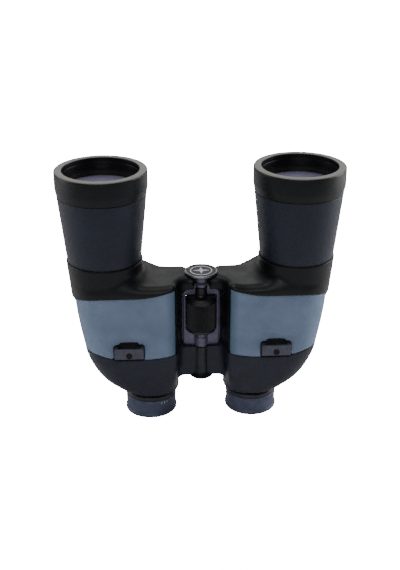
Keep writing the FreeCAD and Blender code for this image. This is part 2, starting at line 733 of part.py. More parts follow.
def cap_badge():
    inner = CAP_R - CAP_RIM_W
    profile = [
        (0, CAP_DISC_Z[1]),
        (inner, CAP_DISC_Z[1]),
        (inner, CAP_LOW_Z),
        (CAP_R, CAP_LOW_Z),
        (CAP_R, CAP_TOP_Z - CAP_BEVEL_DROP),
        (CAP_R - CAP_BEVEL, CAP_TOP_Z),
        (CAP_FACE_R + CAP_FACE_SLOPE, CAP_TOP_Z),
        (CAP_FACE_R, CAP_TOP_Z - CAP_FACE_SLOPE),
        (0, CAP_TOP_Z - CAP_FACE_SLOPE),
    ]
    return turned(profile)


def focus_wheel():
    """Wheel core with its hub, a neck up to the front eye and a centre point in the bush."""
    band_r = WHEEL_R - WHEEL_BAND_INSET
    hub_low_z = WHEEL_LOW_Z - WHEEL_HUB_DROP
    profile = [
        (0, hub_low_z),
        (WHEEL_HUB_R, hub_low_z),
        (WHEEL_HUB_R, WHEEL_LOW_Z),
        (band_r - WHEEL_EDGE, WHEEL_LOW_Z),
        (band_r, WHEEL_LOW_Z + WHEEL_EDGE),
        (band_r, GRIP_LOW_Z),
        (WHEEL_CORE_R, GRIP_LOW_Z),
        (WHEEL_CORE_R, GRIP_TOP_Z),
        (WHEEL_R, GRIP_TOP_Z),
        (WHEEL_R - WHEEL_TOP_INSET, WHEEL_TOP_Z - WHEEL_TOP_EDGE),
        (WHEEL_R - WHEEL_TOP_EDGE, WHEEL_TOP_Z),
        (WHEEL_NECK_R, WHEEL_TOP_Z),
        (WHEEL_NECK_R, WHEEL_NECK_TOP_Z),
        (WHEEL_CENTRE_R, WHEEL_NECK_TOP_Z),
        (WHEEL_CENTRE_R, WHEEL_CENTRE_TOP_Z),
        (0, WHEEL_CENTRE_TOP_Z),
    ]
    return turned(profile).cut(cylinder(SPINDLE_NECK_R, 0, SPINDLE_TOP_Z))


def wheel_grip():
    """Rubber sleeve with straight teeth round it."""
    step = 360.0 / GRIP_TEETH
    points = []
    for i in range(GRIP_TEETH):
        for fraction, depth in GRIP_TOOTH_PROFILE:
            point = unit((i + fraction) * step) * (WHEEL_R - depth)
            points.append((point.x, point.y))
    return polygon_prism(points, GRIP_LOW_Z, GRIP_TOP_Z).cut(cylinder(WHEEL_CORE_R, 0, FAR))


def focus_spindle():
    """Spindle with its thread drawn as a plain cylinder."""
    return joined(
        cylinder(SPINDLE_TIP_R, SPINDLE_LOW_Z, SPINDLE_THREAD_Z[0]),
        cylinder(SPINDLE_R, *SPINDLE_THREAD_Z),
        cylinder(SPINDLE_NECK_R, SPINDLE_THREAD_Z[1], SPINDLE_TOP_Z),
    )


def focus_nut():
    body = joined(
        cylinder(NUT_R, *NUT_Z),
        cylinder(NUT_FLANGE_R, NUT_Z[0], NUT_Z[0] + NUT_FLANGE_T),
        cylinder(NUT_FLANGE_R, NUT_Z[1] - NUT_FLANGE_T, NUT_Z[1]),
    )
    return body.cut(cylinder(SPINDLE_R + RUNNING_GAP, 0, FAR))


def pivot_sleeve():
    return tube(PIVOT_R, PIVOT_BORE_R, *PIVOT_Z)


def hinge_cover():
    """Tube round the focus spindle, with windows for the two yoke arms."""
    swing = [(0, 0)]
    for angle in COVER_SWING_ANGLES:
        point = unit(angle) * COVER_SWING_R
        swing.append((point.x, point.y))
    return cut_by(
        tube(COVER_R, COVER_BORE_R, *COVER_Z),
        box((-FAR, 0), (-SLOT_HALF_Y, SLOT_HALF_Y), SLOT_Z),
        polygon_prism(swing, *SLOT_Z),
    )


def rear_end_cap():
    bevel_in, bevel_up = END_CAP_BEVEL
    profile = [
        (0, END_CAP_LOW_Z),
        (END_CAP_R - bevel_in, END_CAP_LOW_Z),
        (END_CAP_R, END_CAP_LOW_Z + bevel_up),
        (END_CAP_R, END_CAP_RIM_Z),
        (COVER_R, END_CAP_RIM_Z),
        (COVER_R, COVER_Z[0]),
        (0, COVER_Z[0]),
    ]
    return turned(profile).cut(cylinder(END_CAP_BORE_R, END_CAP_BORE_LOW_Z, FAR))


def half_parts(side):
    """Every piece of one half, drawn for +X."""
    return {
        "prism_housing": prism_housing(side),
        "front_armour": front_armour(side),
        "side_panel": side_panel(),
        "rear_armour": rear_armour(),
        "objective_barrel": objective_barrel(),
        "rim_bumper": rim_bumper(),
        "objective_cell": objective_cell(),
        "crown_lens": crown_lens(),
        "flint_lens": flint_lens(),
        "objective_retainer": objective_retainer(),
        "prism_shelf": prism_shelf(),
        "objective_prism": right_angle_prism(objective_prism_frame()),
        "ocular_prism": right_angle_prism(ocular_prism_frame()),
        "prism_clips": prism_clips(),
        "strap_lug": strap_lug(),
        "lug_rivet": lug_rivet(),
        "hinge_bracket": hinge_bracket(side),
        "eyepiece_tube": eyepiece_tube(),
        "field_lens": field_lens(),
        "eye_lens": eye_lens(),
        "eye_lens_cell": eye_lens_cell(),
        "eyepiece_ring": eyepiece_ring(side),
        "eyecup": eyecup(side),
        "yoke_arm": yoke_arm(side),
    }


def centre_parts():
    return {
        "hinge_boss": hinge_boss(),
        "tripod_bush": tripod_bush(),
        "tripod_cap": tripod_cap(),
        "cap_badge": cap_badge(),
        "focus_wheel": focus_wheel(),
        "wheel_grip": wheel_grip(),
        "focus_spindle": focus_spindle(),
        "focus_nut": focus_nut(),
        "pivot_sleeve": pivot_sleeve(),
        "hinge_cover": hinge_cover(),
        "rear_end_cap": rear_end_cap(),
    }


def save(name, shape):
    moved = shape.translated(V(0, HINGE_Y, 0))
    moved.exportStep("parts/" + name + ".step")


def main():
    os.makedirs("parts", exist_ok=True)
    for name, shape in half_parts(1).items():
        save("right_" + name, shape)
    for name, shape in half_parts(-1).items():
        save("left_" + name, shape.mirror(V(0, 0, 0), V(1, 0, 0)))
    for name, shape in centre_parts().items():
        save(name, shape)


main()
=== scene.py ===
# Looks of the porro-prism binoculars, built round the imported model.
#
# Shapes are worked out in millimetres about the hinge axis, for the +X half, and put into metres and into
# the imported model's frame when a mesh is made. The armour of a half is one smooth field, meshed once and
# cut along its seams.

import json
import math

import bmesh
import bpy
import numpy as np
from mathutils import Matrix, Vector

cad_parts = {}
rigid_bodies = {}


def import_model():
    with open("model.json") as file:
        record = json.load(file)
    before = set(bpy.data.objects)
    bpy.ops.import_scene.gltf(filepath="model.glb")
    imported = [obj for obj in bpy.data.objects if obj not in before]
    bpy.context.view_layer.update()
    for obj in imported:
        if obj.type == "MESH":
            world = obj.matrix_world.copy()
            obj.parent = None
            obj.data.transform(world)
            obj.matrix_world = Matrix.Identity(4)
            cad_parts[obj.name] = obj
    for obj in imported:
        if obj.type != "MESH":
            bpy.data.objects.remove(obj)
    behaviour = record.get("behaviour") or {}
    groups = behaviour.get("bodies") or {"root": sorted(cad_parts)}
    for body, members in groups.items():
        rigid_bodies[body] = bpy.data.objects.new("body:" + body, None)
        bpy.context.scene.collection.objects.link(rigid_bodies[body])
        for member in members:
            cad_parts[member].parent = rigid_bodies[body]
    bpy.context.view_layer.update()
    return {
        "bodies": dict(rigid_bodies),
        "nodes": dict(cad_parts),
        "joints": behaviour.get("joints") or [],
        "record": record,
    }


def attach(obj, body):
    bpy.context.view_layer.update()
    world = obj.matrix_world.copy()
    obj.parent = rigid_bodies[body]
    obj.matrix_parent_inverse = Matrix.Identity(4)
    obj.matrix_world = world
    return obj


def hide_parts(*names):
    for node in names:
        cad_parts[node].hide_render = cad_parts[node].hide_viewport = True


MM = 0.001
HINGE_Y = -5.75
SIDES = {"left": -1, "right": 1}

# Layout, as in the CAD model.
OBJECTIVE = np.array([66.0, 4.0])
EYEPIECE = np.array([36.3, 4.0])
NOSE_Z = 18.5
NOSE_EDGE = 0.5
COLLAR_TOP_Z = 118.8
RIM_Z = 182.0

# Outline of a half at several heights: distances of the six sides, and the round corner after each.
SIDE_ANGLES = (-90.0, 0.0, 45.0, 90.0, 135.0, 191.0)
LEVELS = (
    (18.5, (14.9, 55.2, 47.4, 22.9, -3.9, -15.9), (18, 18, 18, 18, 18, 18)),
    (22.0, (16.0, 61.2, 49.8, 25.5, -3.9, -16.6), (19, 17, 17, 15, 15, 15)),
    (30.0, (17.6, 70.8, 57.3, 30.0, -4.0, -15.9), (20, 16, 16, 12, 10, 9)),
    (40.0, (19.0, 77.3, 64.3, 34.0, -4.0, -14.6), (21, 14, 14, 11, 6, 6)),
    (51.5, (19.9, 81.4, 69.8, 36.5, -4.0, -13.9), (21, 12, 12, 10, 4, 4.5)),
    (98.0, (21.0, 87.6, 74.3, 38.5, -4.0, -13.7), (21, 12, 12, 10, 4, 4.5)),
    (106.0, (21.0, 87.8, 74.3, 38.5, -4.0, -13.7), (21, 12, 12, 10, 4, 4.5)),
)

# Shoulder: its height, the sag between barrel and hub, and how round its front edge is.
SHOULDER_Z = 105.5
SHOULDER_SAG = 0.9
SAG_BARREL_X = (28.0, 56.0)
HUB_RISE = 2.4
HUB_RISE_X = (9.0, 32.0)
SHOULDER_ROUND = 5.0

# Collar under the barrel, with the fillet that runs from it into the shoulder.
COLLAR_R = (23.6, 25.5)
COLLAR_Z = (98.0, COLLAR_TOP_Z)
COLLAR_BASE_Z = 92.0
COLLAR_FILLET = 10.0
COLLAR_FILLET_IN = (-14.0, 22.0)
COLLAR_JOIN = 1.2

# Lug towards the hub, and the arm towards the rear of the hinge.
LUG_BOX = ((2.0, 26.0), (-8.0, 15.0), (98.4, 125.0))
FOLD_WALL_ANGLE = 147.0
FOLD_WALL_GAP = 1.5
LUG_FILLET = 7.0
LUG_EDGE = 1.6
HUB_CLEAR_R = 8.9
HUB_CLEAR_Z = 97.7
ARM_BOX = ((2.0, 22.0), (-3.6, 4.3), (28.6, 51.7))
ARM_FILLET = 5.0
ARM_EDGE = 0.8
HINGE_CLEAR_R = 5.3
ARM_END_R = 5.9
NOSE_HOLE_R = 16.1

# Seams of the blue panel. A seam is level in its middle and bends between the two x values of each bend.
PANEL_TOP_Z = 98.0
PANEL_TOP_RISE = 5.4
PANEL_TOP_RISE_X = (46.0, 19.0)
PANEL_TOP_DROP = 6.0
PANEL_TOP_DROP_X = (67.0, 89.0)
PANEL_LOW_Z = 50.8
PANEL_LOW_RISE_IN = 3.4
PANEL_LOW_IN_X = (40.0, 18.0)
PANEL_LOW_RISE_OUT = 3.0
PANEL_LOW_OUT_X = (45.0, 72.0)
PANEL_INNER = ((-15.0, 6.0, 31.0), (18.4, 20.0, 44.0))
PANEL_CORNER = 1.0
SEAM_GAP = 0.16
SEAM_EDGE_W = 0.7
SEAM_EDGE_DROP = 0.35

# Strap lug and its opening, centred on LUG_X.
LUG_X = 50.8
LUG_CUT_HALF_W = 10.8
LUG_CUT_Z = (50.4, 62.8)
LUG_CUT_CORNER = 2.0
STRAP_HALF_W = 6.8
STRAP_TOP_Z = 64.3
STRAP_CORNER = 1.8
STRAP_BAR_Z = (53.4, 61.2)
STRAP_BAR_EDGE = 0.5
DENT_CENTRE = (LUG_X, -24.0, 64.2)
DENT_RADII = (12.5, 4.8, 6.5)
DENT_BLEND = 3.5

# Skins.
GRID_STEP = 1.0
GRID_LOW = (1.0, -26.0, 15.0)
GRID_HIGH = (96.0, 44.0, 122.0)
SKIN_T = 1.3
FRONT_PROUD = 0.55
REAR_PROUD = 0.2
SKIN_SHARP = 50.0

# Working on a field: how far away counts as never, the step of a slope, and how points are moved to a level.
FAR = 1e3
SLOPE_STEP = 0.02
MOVE_ROUNDS = 4
LONGEST_MOVE = 0.5
LEAST_SLOPE = 0.05
LEAST_SLIDE_SLOPE = 0.15
SLIDE_NEAR = 0.35 * GRID_STEP
ON_LEVEL = 0.03

# Grey castings beside the wheel.
BRACKET_PLATE = ((3.6, 12.5), (-0.5, 4.5), (51.1, 99.85))
BRACKET_FOOT = ((11.5, 15.6), (1.0, 4.5), (53.6, 96.6))
BRACKET_EDGE = 0.5
EYE_GAP_R = 4.5
EYES_TOP_Z = 62.4
HUB_GAP_R = 4.1
WHEEL_WINDOW_R = 10.85
WHEEL_WINDOW_Z = (63.7, 90.7)
REAR_EYE_R = 4.4
REAR_EYE_Z = {"left": (58.9, 62.3), "right": (51.3, 58.5)}
REAR_WEB_X = (2.0, 6.5)
REAR_WEB_Y = (0.0, 3.6)
PIVOT_BORE_R = {"left": 3.1, "right": 3.15}
FRONT_EYE_R = 3.75
FRONT_EYE_Z = (97.0, 99.7)
FRONT_WEB_X = (1.5, 7.0)
FRONT_WEB_Y = (0.5, 3.4)
FRONT_BORE_R = 2.45
BRACKET_GRID_LOW = (-6.0, -6.0, 50.0)
BRACKET_GRID_HIGH = (18.0, 7.0, 102.0)
BRACKET_GRID_STEP = 0.42

# Meshing of turned pieces and plates.
LATHE_STEPS = 144
CORNER_STEPS = 7
WELD_DISTANCE = 1e-7
BEVEL_STEPS = 3
BEVEL_OVER = 30.0

# Wheel teeth, the badge's star, and the marks on the eyecup that turns.
GRIP_R = 10.7
GRIP_BORE_R = 9.45
GRIP_Z = (66.0, 86.2)
GRIP_EDGE = 0.35
GRIP_TEETH = 54
GRIP_DEPTH = 0.55
TOOTH_FROM_R = GRIP_R - 0.9
TOOTH_SHARPNESS = 0.6
STEPS_PER_TOOTH = 8
STAR_POINTS = 4
STAR_R = (5.6, 1.7)
STAR_Z = (108.7, 109.1)
STAR_EDGE = 0.08
EYE_BORE_R = {"left": 15.54, "right": 15.5}
MARK_ANGLES = (-128.0, -121.0, -114.0)
MARK_HALF_H = (0.5, 0.9, 0.5)
MARK_HALF_W = 0.22
MARK_DEPTH = (-0.3, 0.08)
MARK_EDGE = 0.04
MARK_R = 18.1
MARK_Z = 11.3

# Finishes. A pair is the part of a noise's range over which its effect grows.
SPECKLE = 0.45
SPECKLE_RANGE = (0.55, 0.75)
PATCH_DETAIL = 4.0
GRAIN_DETAIL = 2.0
# How far down from the lip the painted highlight on the hood reaches, in millimetres.
LIP_HIGHLIGHT = 0.6
# Across this band the blue panel is darkened by painted shade.
VALLEY_SHADE_X = (25.0, 19.0)
GRAIN_STRENGTH = 0.35
DUST_MM = 1.6
DUST_DETAIL = 3.0
DUST_AMOUNT = 0.35
DUST_RANGE = (0.6, 0.8)
DUST_COLOUR = (205, 205, 210)
DUST_ROUGHNESS = 0.08
DUST_ROUGHNESS_RANGE = (0.5, 0.8)
GLASS_IOR = 1.52
COAT_ROUGHNESS = 0.04
COAT_COLOUR = (232, 226, 244)

# Camera: about the hinge axis, in millimetres and degrees.
CAMERA_AZIMUTH = -2.923
CAMERA_ELEVATION = 24.891
CAMERA_ROLL = -0.207
CAMERA_DISTANCE = 667.5
CAMERA_TARGET = (-5.58, 0.0, 97.85)
CAMERA_LENS = 60.94
CAMERA_SHIFT = (0.01218, 0.00046)
SENSOR_WIDTH = 36.0
CLIP_START = 0.01

# Lights, in metres and watts: name, place, the point it faces, size, power.
LIGHTS = (
    ("back_light", (0.0, 2.0, 1.05), (0, 0, 0.1), (3.0, 1.3), 14.0),
    ("top_light", (-0.1, 0.1, 1.4), (0, 0, 0.12), (0.9, 0.9), 9.0),
    ("left_light", (-1.15, 0.15, 0.35), (0, 0, 0.1), (0.5, 0.8), 6.0),
    ("right_light", (1.1, 0.25, 0.4), (0, 0, 0.1), (0.5, 0.8), 13.0),
    ("front_light", (-0.2, -1.4, 1.0), (0, 0, 0.08), (0.9, 0.5), 7.5),
)

# Surroundings and floor. The glow is what the camera alone sees.
WORLD_COLOUR = (0.95, 0.97, 1.0, 1.0)
WORLD_STRENGTH = 0.1
FLOOR_COLOUR = (0.8, 0.8, 0.81, 1.0)
FLOOR_ROUGHNESS = 0.9
FLOOR_SPECULAR = 0.05
FLOOR_GLOW = 26.0
FLOOR_HALF = 4.0


# ---------------------------------------------------------------- fields


def rounded_max(a, b, radius):
    """Where both fields are inside, with a round edge of that radius."""
    u = np.maximum(a + radius, 0.0)
    v = np.maximum(b + radius, 0.0)
    return np.minimum(np.maximum(a, b), -radius) + np.hypot(u, v)


def rounded_min(a, b, radius):
    """Where either field is inside, with a fillet of that radius where they meet."""
    return -rounded_max(-a, -b, radius)


def filleted_corner(a, b, angle, radius):
    """Where both plane fields are inside. angle is between the directions that the planes face."""
    u, v = a + radius, b + radius
    near = (u > v * math.cos(angle)) & (v > u * math.cos(angle))
    squared = u * u + v * v - 2 * u * v * math.cos(angle)
    from_axis = np.sqrt(np.maximum(squared, 0.0)) / math.sin(angle)
    return np.where(near, from_axis - radius, np.maximum(a, b))


def ramp(value, start, end):
    """0 at start, 1 at end, smooth between."""
    t = np.clip((value - start) / (end - start), 0.0, 1.0)
    return t * t * (3.0 - 2.0 * t)


def smooth_curve(z, heights, values):
    """Curve through the values that never overshoots between two of them."""
    heights = np.asarray(heights, float)
    values = np.asarray(values, float)
    step = np.diff(heights)
    rise = np.diff(values) / step
    slope = np.concatenate([[rise[0]], np.zeros(len(rise) - 1), [rise[-1]]])
    same = rise[:-1] * rise[1:] > 0
    slope[1:-1][same] = 2 * rise[:-1][same] * rise[1:][same] / (rise[:-1] + rise[1:])[same]
    z = np.clip(z, heights[0], heights[-1])
    i = np.clip(np.searchsorted(heights, z, side="right") - 1, 0, len(step) - 1)
    t = (z - heights[i]) / step[i]
    return (
        values[i] * (1 + 2 * t) * (1 - t) ** 2
        + slope[i] * step[i] * t * (1 - t) ** 2
        + values[i + 1] * t * t * (3 - 2 * t)
        + slope[i + 1] * step[i] * t * t * (t - 1)
    )


def box_field(p, ranges, edge):
    """Box between the (low, high) pairs in x, y and z, with edges rounded by edge."""
    x, y, z = (
        np.abs(p[:, i] - (low + high) / 2) - (high - low) / 2 for i, (low, high) in enumerate(ranges)
    )
    return rounded_max(rounded_max(x, y, edge), z, edge)


def plan_radius(p, centre):
    return np.hypot(p[:, 0] - centre[0], p[:, 1] - centre[1])


def housing_field(p):
    """The sides of the half's body, from the nose up."""
    z = p[:, 2]
    heights = [level[0] for level in LEVELS]
    sides = []
    corners = []
    for i, angle in enumerate(SIDE_ANGLES):
        distance = smooth_curve(z, heights, [level[1][i] for level in LEVELS])
        a = math.radians(angle)
        sides.append(p[:, 0] * math.cos(a) + p[:, 1] * math.sin(a) - distance)
        corners.append(smooth_curve(z, heights, [level[2][i] for level in LEVELS]))
    field = np.full(len(p), -FAR)
    for i, angle in enumerate(SIDE_ANGLES):
        after = (i + 1) % len(SIDE_ANGLES)
        turn = math.radians((SIDE_ANGLES[after] - angle) % 360.0)
        field = np.maximum(field, filleted_corner(sides[i], sides[after], turn, corners[i]))
    return rounded_max(field, NOSE_Z - z, NOSE_EDGE)


def shoulder_field(p):
    """Everything under the shoulder, which sags a little between the barrel and the hub."""
    sag = SHOULDER_SAG * (1.0 - ramp(p[:, 0], *SAG_BARREL_X))
    rise = HUB_RISE * (1.0 - ramp(p[:, 0], *HUB_RISE_X))
    return p[:, 2] - (SHOULDER_Z - sag + rise)


def lug_field(p):
    """Lug towards the hub, cut back so that the two lugs clear each other when the halves fold."""
    a = math.radians(FOLD_WALL_ANGLE)
    wall = p[:, 0] * math.cos(a) + p[:, 1] * math.sin(a) + FOLD_WALL_GAP
    return rounded_max(box_field(p, LUG_BOX, LUG_EDGE), wall, LUG_EDGE)


def collar_field(p):
    z = p[:, 2]
    slope = (COLLAR_R[1] - COLLAR_R[0]) / (COLLAR_Z[1] - COLLAR_Z[0])
    cone = plan_radius(p, OBJECTIVE) - (COLLAR_R[0] + slope * (z - COLLAR_Z[0]))
    return np.maximum(cone, COLLAR_BASE_Z - z)


def strap_dent_field(p):
    scaled = (p - np.array(DENT_CENTRE)) / np.array(DENT_RADII)
    return (np.linalg.norm(scaled, axis=1) - 1.0) * min(DENT_RADII)


def armour_field(p):
    """Outer surface of one half's rubber: negative inside."""
    inward = ramp(OBJECTIVE[0] - p[:, 0], *COLLAR_FILLET_IN)
    fillet = COLLAR_JOIN + (COLLAR_FILLET - COLLAR_JOIN) * inward
    collar = collar_field(p)
    field = rounded_min(housing_field(p), lug_field(p), LUG_FILLET)
    field = rounded_max(field, rounded_min(shoulder_field(p), collar, fillet), SHOULDER_ROUND)
    field = rounded_min(field, collar, COLLAR_JOIN)
    field = rounded_min(field, box_field(p, ARM_BOX, ARM_EDGE), ARM_FILLET)
    field = rounded_max(field, -strap_dent_field(p), DENT_BLEND)
    hinge = np.hypot(p[:, 0], p[:, 1])
    clearance = np.where(p[:, 2] > HUB_CLEAR_Z, HUB_CLEAR_R, HINGE_CLEAR_R)
    return np.maximum(field, clearance - hinge)


def bend(x, start, end):
    """0 up to start, then growing as a square to 1 at end."""
    return np.clip((x - start) / (end - start), 0, 1) ** 2


def panel_top(x):
    rise = PANEL_TOP_RISE * bend(x, *PANEL_TOP_RISE_X)
    drop = PANEL_TOP_DROP * bend(x, *PANEL_TOP_DROP_X)
    return PANEL_TOP_Z + rise - drop


def panel_bottom(x):
    inner = PANEL_LOW_RISE_IN * bend(x, *PANEL_LOW_IN_X)
    outer = PANEL_LOW_RISE_OUT * bend(x, *PANEL_LOW_OUT_X)
    return PANEL_LOW_Z + inner + outer


def lug_opening_field(p):
    """Outline that is cut out round the strap lug, on the front only."""
    x = np.abs(p[:, 0] - LUG_X)
    z = p[:, 2]
    low, high = LUG_CUT_Z
    frame = rounded_max(x - LUG_CUT_HALF_W, np.abs(z - (low + high) / 2) - (high - low) / 2, LUG_CUT_CORNER)
    strap = rounded_max(x - STRAP_HALF_W, z - STRAP_TOP_Z, STRAP_CORNER)
    strap = np.maximum(strap, low - z)
    return np.where(p[:, 1] < 0, np.minimum(frame, strap), FAR)


def panel_region(p):
    x, y, z = p.T
    inner = np.interp(y, *PANEL_INNER) - x
    upper = z - panel_top(x)
    lower = panel_bottom(x) - z
    return rounded_max(rounded_max(upper, lower, PANEL_CORNER), inner, PANEL_CORNER)


def panel_keep(p):
    return np.maximum(panel_region(p) + SEAM_GAP, -lug_opening_field(p))


def rear_keep(p):
    hinge = np.hypot(p[:, 0], p[:, 1])
    nose = NOSE_HOLE_R - plan_radius(p, EYEPIECE)
    seam = p[:, 2] - panel_bottom(p[:, 0]) + SEAM_GAP
    return np.maximum.reduce([seam, -lug_opening_field(p), ARM_END_R - hinge, nose])


def front_keep(p):
    seam = panel_bottom(p[:, 0]) + SEAM_GAP - p[:, 2]
    return np.maximum.reduce([seam, SEAM_GAP - panel_region(p), p[:, 2] - COLLAR_TOP_Z])


def gradient(field, p, step=SLOPE_STEP):
    columns = []
    for axis in range(3):
        offset = np.zeros(3)
        offset[axis] = step
        columns.append((field(p + offset) - field(p - offset)) / (2 * step))
    return np.stack(columns, 1)


def unit_gradient(field, p):
    g = gradient(field, p)
    return g / np.maximum(np.linalg.norm(g, axis=1, keepdims=True), 1e-9)


def tube_field(p, radius, z_range, edge=0.4):
    middle = sum(z_range) / 2
    height = np.abs(p[:, 2] - middle) - (z_range[1] - z_range[0]) / 2
    return rounded_max(np.hypot(p[:, 0], p[:, 1]) - radius, height, edge)


def bracket_field(side):
    """Grey casting beside the wheel, with its eyes on the hinge. The right one also has a front eye."""

    def field(p):
        plate_part = box_field(p, BRACKET_PLATE, BRACKET_EDGE)
        foot = box_field(p, BRACKET_FOOT, BRACKET_EDGE)
        field = rounded_min(plate_part, foot, BRACKET_EDGE)
        field = rounded_max(field, -tube_field(p, WHEEL_WINDOW_R, WHEEL_WINDOW_Z), BRACKET_EDGE)
        hinge = np.hypot(p[:, 0], p[:, 1])
        clearance = np.where(p[:, 2] > EYES_TOP_Z, HUB_GAP_R, EYE_GAP_R)
        field = np.maximum(field, clearance - hinge)
        own = REAR_EYE_Z[side]
        field = np.minimum(field, box_field(p, (REAR_WEB_X, REAR_WEB_Y, own), BRACKET_EDGE))
        field = np.minimum(field, tube_field(p, REAR_EYE_R, own))
        field = np.maximum(field, PIVOT_BORE_R[side] - hinge)
        if side == "right":
            front = np.minimum(
                tube_field(p, FRONT_EYE_R, FRONT_EYE_Z),
                box_field(p, (FRONT_WEB_X, FRONT_WEB_Y, FRONT_EYE_Z), BRACKET_EDGE),
            )
            front = np.maximum(front, FRONT_BORE_R - hinge)
            field = np.minimum(field, front)
        return field

    return field


# ---------------------------------------------------------------- surface of a field


def project(field, p, rounds=MOVE_ROUNDS):
    """Moves points onto the field's surface."""
    for _ in range(rounds):
        g = gradient(field, p)
        move = field(p) / np.maximum((g * g).sum(1), LEAST_SLOPE)
        p = p - g * np.clip(move, -LONGEST_MOVE, LONGEST_MOVE)[:, None]
    return p


def surface_net(field, low_corner, high_corner, step):
    """Triangles of the field's zero surface, one vertex in each cell that it crosses."""
    axes = [np.arange(low, high, step) for low, high in zip(low_corner, high_corner)]
    shape = tuple(len(a) for a in axes)
    grid = np.stack(np.meshgrid(*axes, indexing="ij"), -1).reshape(-1, 3)
    value = field(grid).reshape(shape)
    inside = value < 0
    cells = tuple(n - 1 for n in shape)
    total = np.zeros(cells + (3,))
    count = np.zeros(cells)
    for axis in range(3):
        b, c = [k for k in range(3) if k != axis]
        for db in (0, 1):
            for dc in (0, 1):
                start = [slice(0, n) for n in cells]
                start[b] = slice(db, db + cells[b])
                start[c] = slice(dc, dc + cells[c])
                end = list(start)
                end[axis] = slice(1, 1 + cells[axis])
                va, vb = value[tuple(start)], value[tuple(end)]
                cross = (va < 0) != (vb < 0)
                t = np.where(cross, va / np.where(cross, va - vb, 1.0), 0.0)
                point = np.zeros(cells + (3,))
                point[..., axis] = t
                point[..., b] = db
                point[..., c] = dc
                total += point * cross[..., None]
                count += cross
    used = count > 0
    index = -np.ones(cells, int)
    index[used] = np.arange(used.sum())
    place = np.argwhere(used) + total[used] / count[used][:, None]
    points = np.array(low_corner) + place * step
    triangles = []
    for axis in range(3):
        b, c = [(axis + 1) % 3, (axis + 2) % 3]
        low = [slice(1, n) for n in cells]
        low[axis] = slice(0, cells[axis])
        high = list(low)
        high[axis] = slice(1, cells[axis] + 1)
        first, second = inside[tuple(low)], inside[tuple(high)]
        for flip in (False, True):
            edge = np.argwhere((second & ~first) if flip else (first & ~second))
            edge[:, b] += 1
            edge[:, c] += 1
            corners = []
            for db, dc in ((0, 0), (1, 0), (1, 1), (0, 1)):
                cell = edge.copy()
                cell[:, b] -= 1 - db
                cell[:, c] -= 1 - dc
                corners.append(index[tuple(cell.T)])
            q = np.stack(corners[::-1] if flip else corners, 1)
            triangles += [q[:, [0, 1, 2]], q[:, [0, 2, 3]]]
    return project(field, points), np.concatenate(triangles)


def slide_to_level(surface, region, p, level, near):
    """Points of the surface that are near a level of the region's field are moved onto it."""
    pick = np.abs(region(p) - level) < near
    q = p[pick]
    for _ in range(MOVE_ROUNDS):
        normal = unit_gradient(surface, q)
        along = gradient(region, q)
        along = along - normal * (along * normal).sum(1, keepdims=True)
        size = np.maximum((along * along).sum(1), LEAST_SLIDE_SLOPE)
        move = np.clip((region(q) - level) / size, -near, near)
        q = project(surface, q - along * move[:, None], 1)
    p = p.copy()
    p[pick] = q
    return p


def split(surface, region, p, triangles, level):
    """Cuts triangles along a level of the region's field. Returns points, triangles, values."""
    p = slide_to_level(surface, region, p, level, SLIDE_NEAR)
    value = region(p) - level
    value[np.abs(value) < ON_LEVEL] = 0.0
    sign = np.sign(value)[triangles]
    crossed = (sign.min(1) < 0) & (sign.max(1) > 0)
    kept = triangles[~crossed].tolist()
    points = p.tolist()
    made = {}

    def between(a, b):
        key = (min(a, b), max(a, b))
        if key not in made:
            t = value[a] / (value[a] - value[b])
            made[key] = len(points)
            points.append((p[a] + t * (p[b] - p[a])).tolist())
        return made[key]

    for triangle in triangles[crossed]:
        loop = []
        for a, b in zip(triangle, np.roll(triangle, -1)):
            loop.append(int(a))
            if value[a] * value[b] < 0:
                loop.append(between(int(a), int(b)))
        for want in (-1, 1):
            part = [v for v in loop if v >= len(p) or value[v] * want >= 0]
            for i in range(1, len(part) - 1):
                kept.append([part[0], part[i], part[i + 1]])
    points = np.array(points)
    new = points[len(p):]
    if len(new):
        points[len(p):] = project(surface, new, 2)
    value = np.concatenate([value, np.zeros(len(new))])
    return points, np.array(kept), value


def skin_piece(surface, net, region, proud):
    """Closed skin over the part of the surface where the region's field is negative. It stands proud of
    the surface, and a little less so along its seams."""
    points, triangles, _ = split(surface, region, *net, -SEAM_EDGE_W)
    points, triangles, value = split(surface, region, points, triangles, 0.0)
    middle = value[triangles]
    triangles = triangles[(middle.max(1) <= 0) & (middle.min(1) < 0)]
    used = np.unique(triangles)
    index = -np.ones(len(points), int)
    index[used] = np.arange(len(used))
    points, triangles, value = points[used], index[triangles], value[used]
    edges = np.concatenate([triangles[:, [0, 1]], triangles[:, [1, 2]], triangles[:, [2, 0]]])
    twin = {(a, b) for a, b in edges.tolist()}
    rim = np.array([(a, b) for a, b in edges.tolist() if (b, a) not in twin])
    normal = unit_gradient(surface, points)
    lift = np.full(len(points), proud)
    lift[np.unique(rim)] -= SEAM_EDGE_DROP
    outer = points + normal * lift[:, None]
    inner = points - normal * SKIN_T
    n = len(points)
    start, end = rim[:, [0]], rim[:, [1]]
    walls = np.concatenate([end, start, start + n, start + n, end + n, end], 1)
    faces = np.concatenate([triangles, triangles[:, ::-1] + n, walls[:, :3], walls[:, 3:]])
    return np.concatenate([outer, inner]), faces


# ---------------------------------------------------------------- meshes


def to_frame(points, side=1):
    """Millimetres about the hinge, for the +X half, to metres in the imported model's frame."""
    moved = np.array(points, float) * np.array([side, 1, 1]) + np.array([0, HINGE_Y, 0])
    return moved * MM


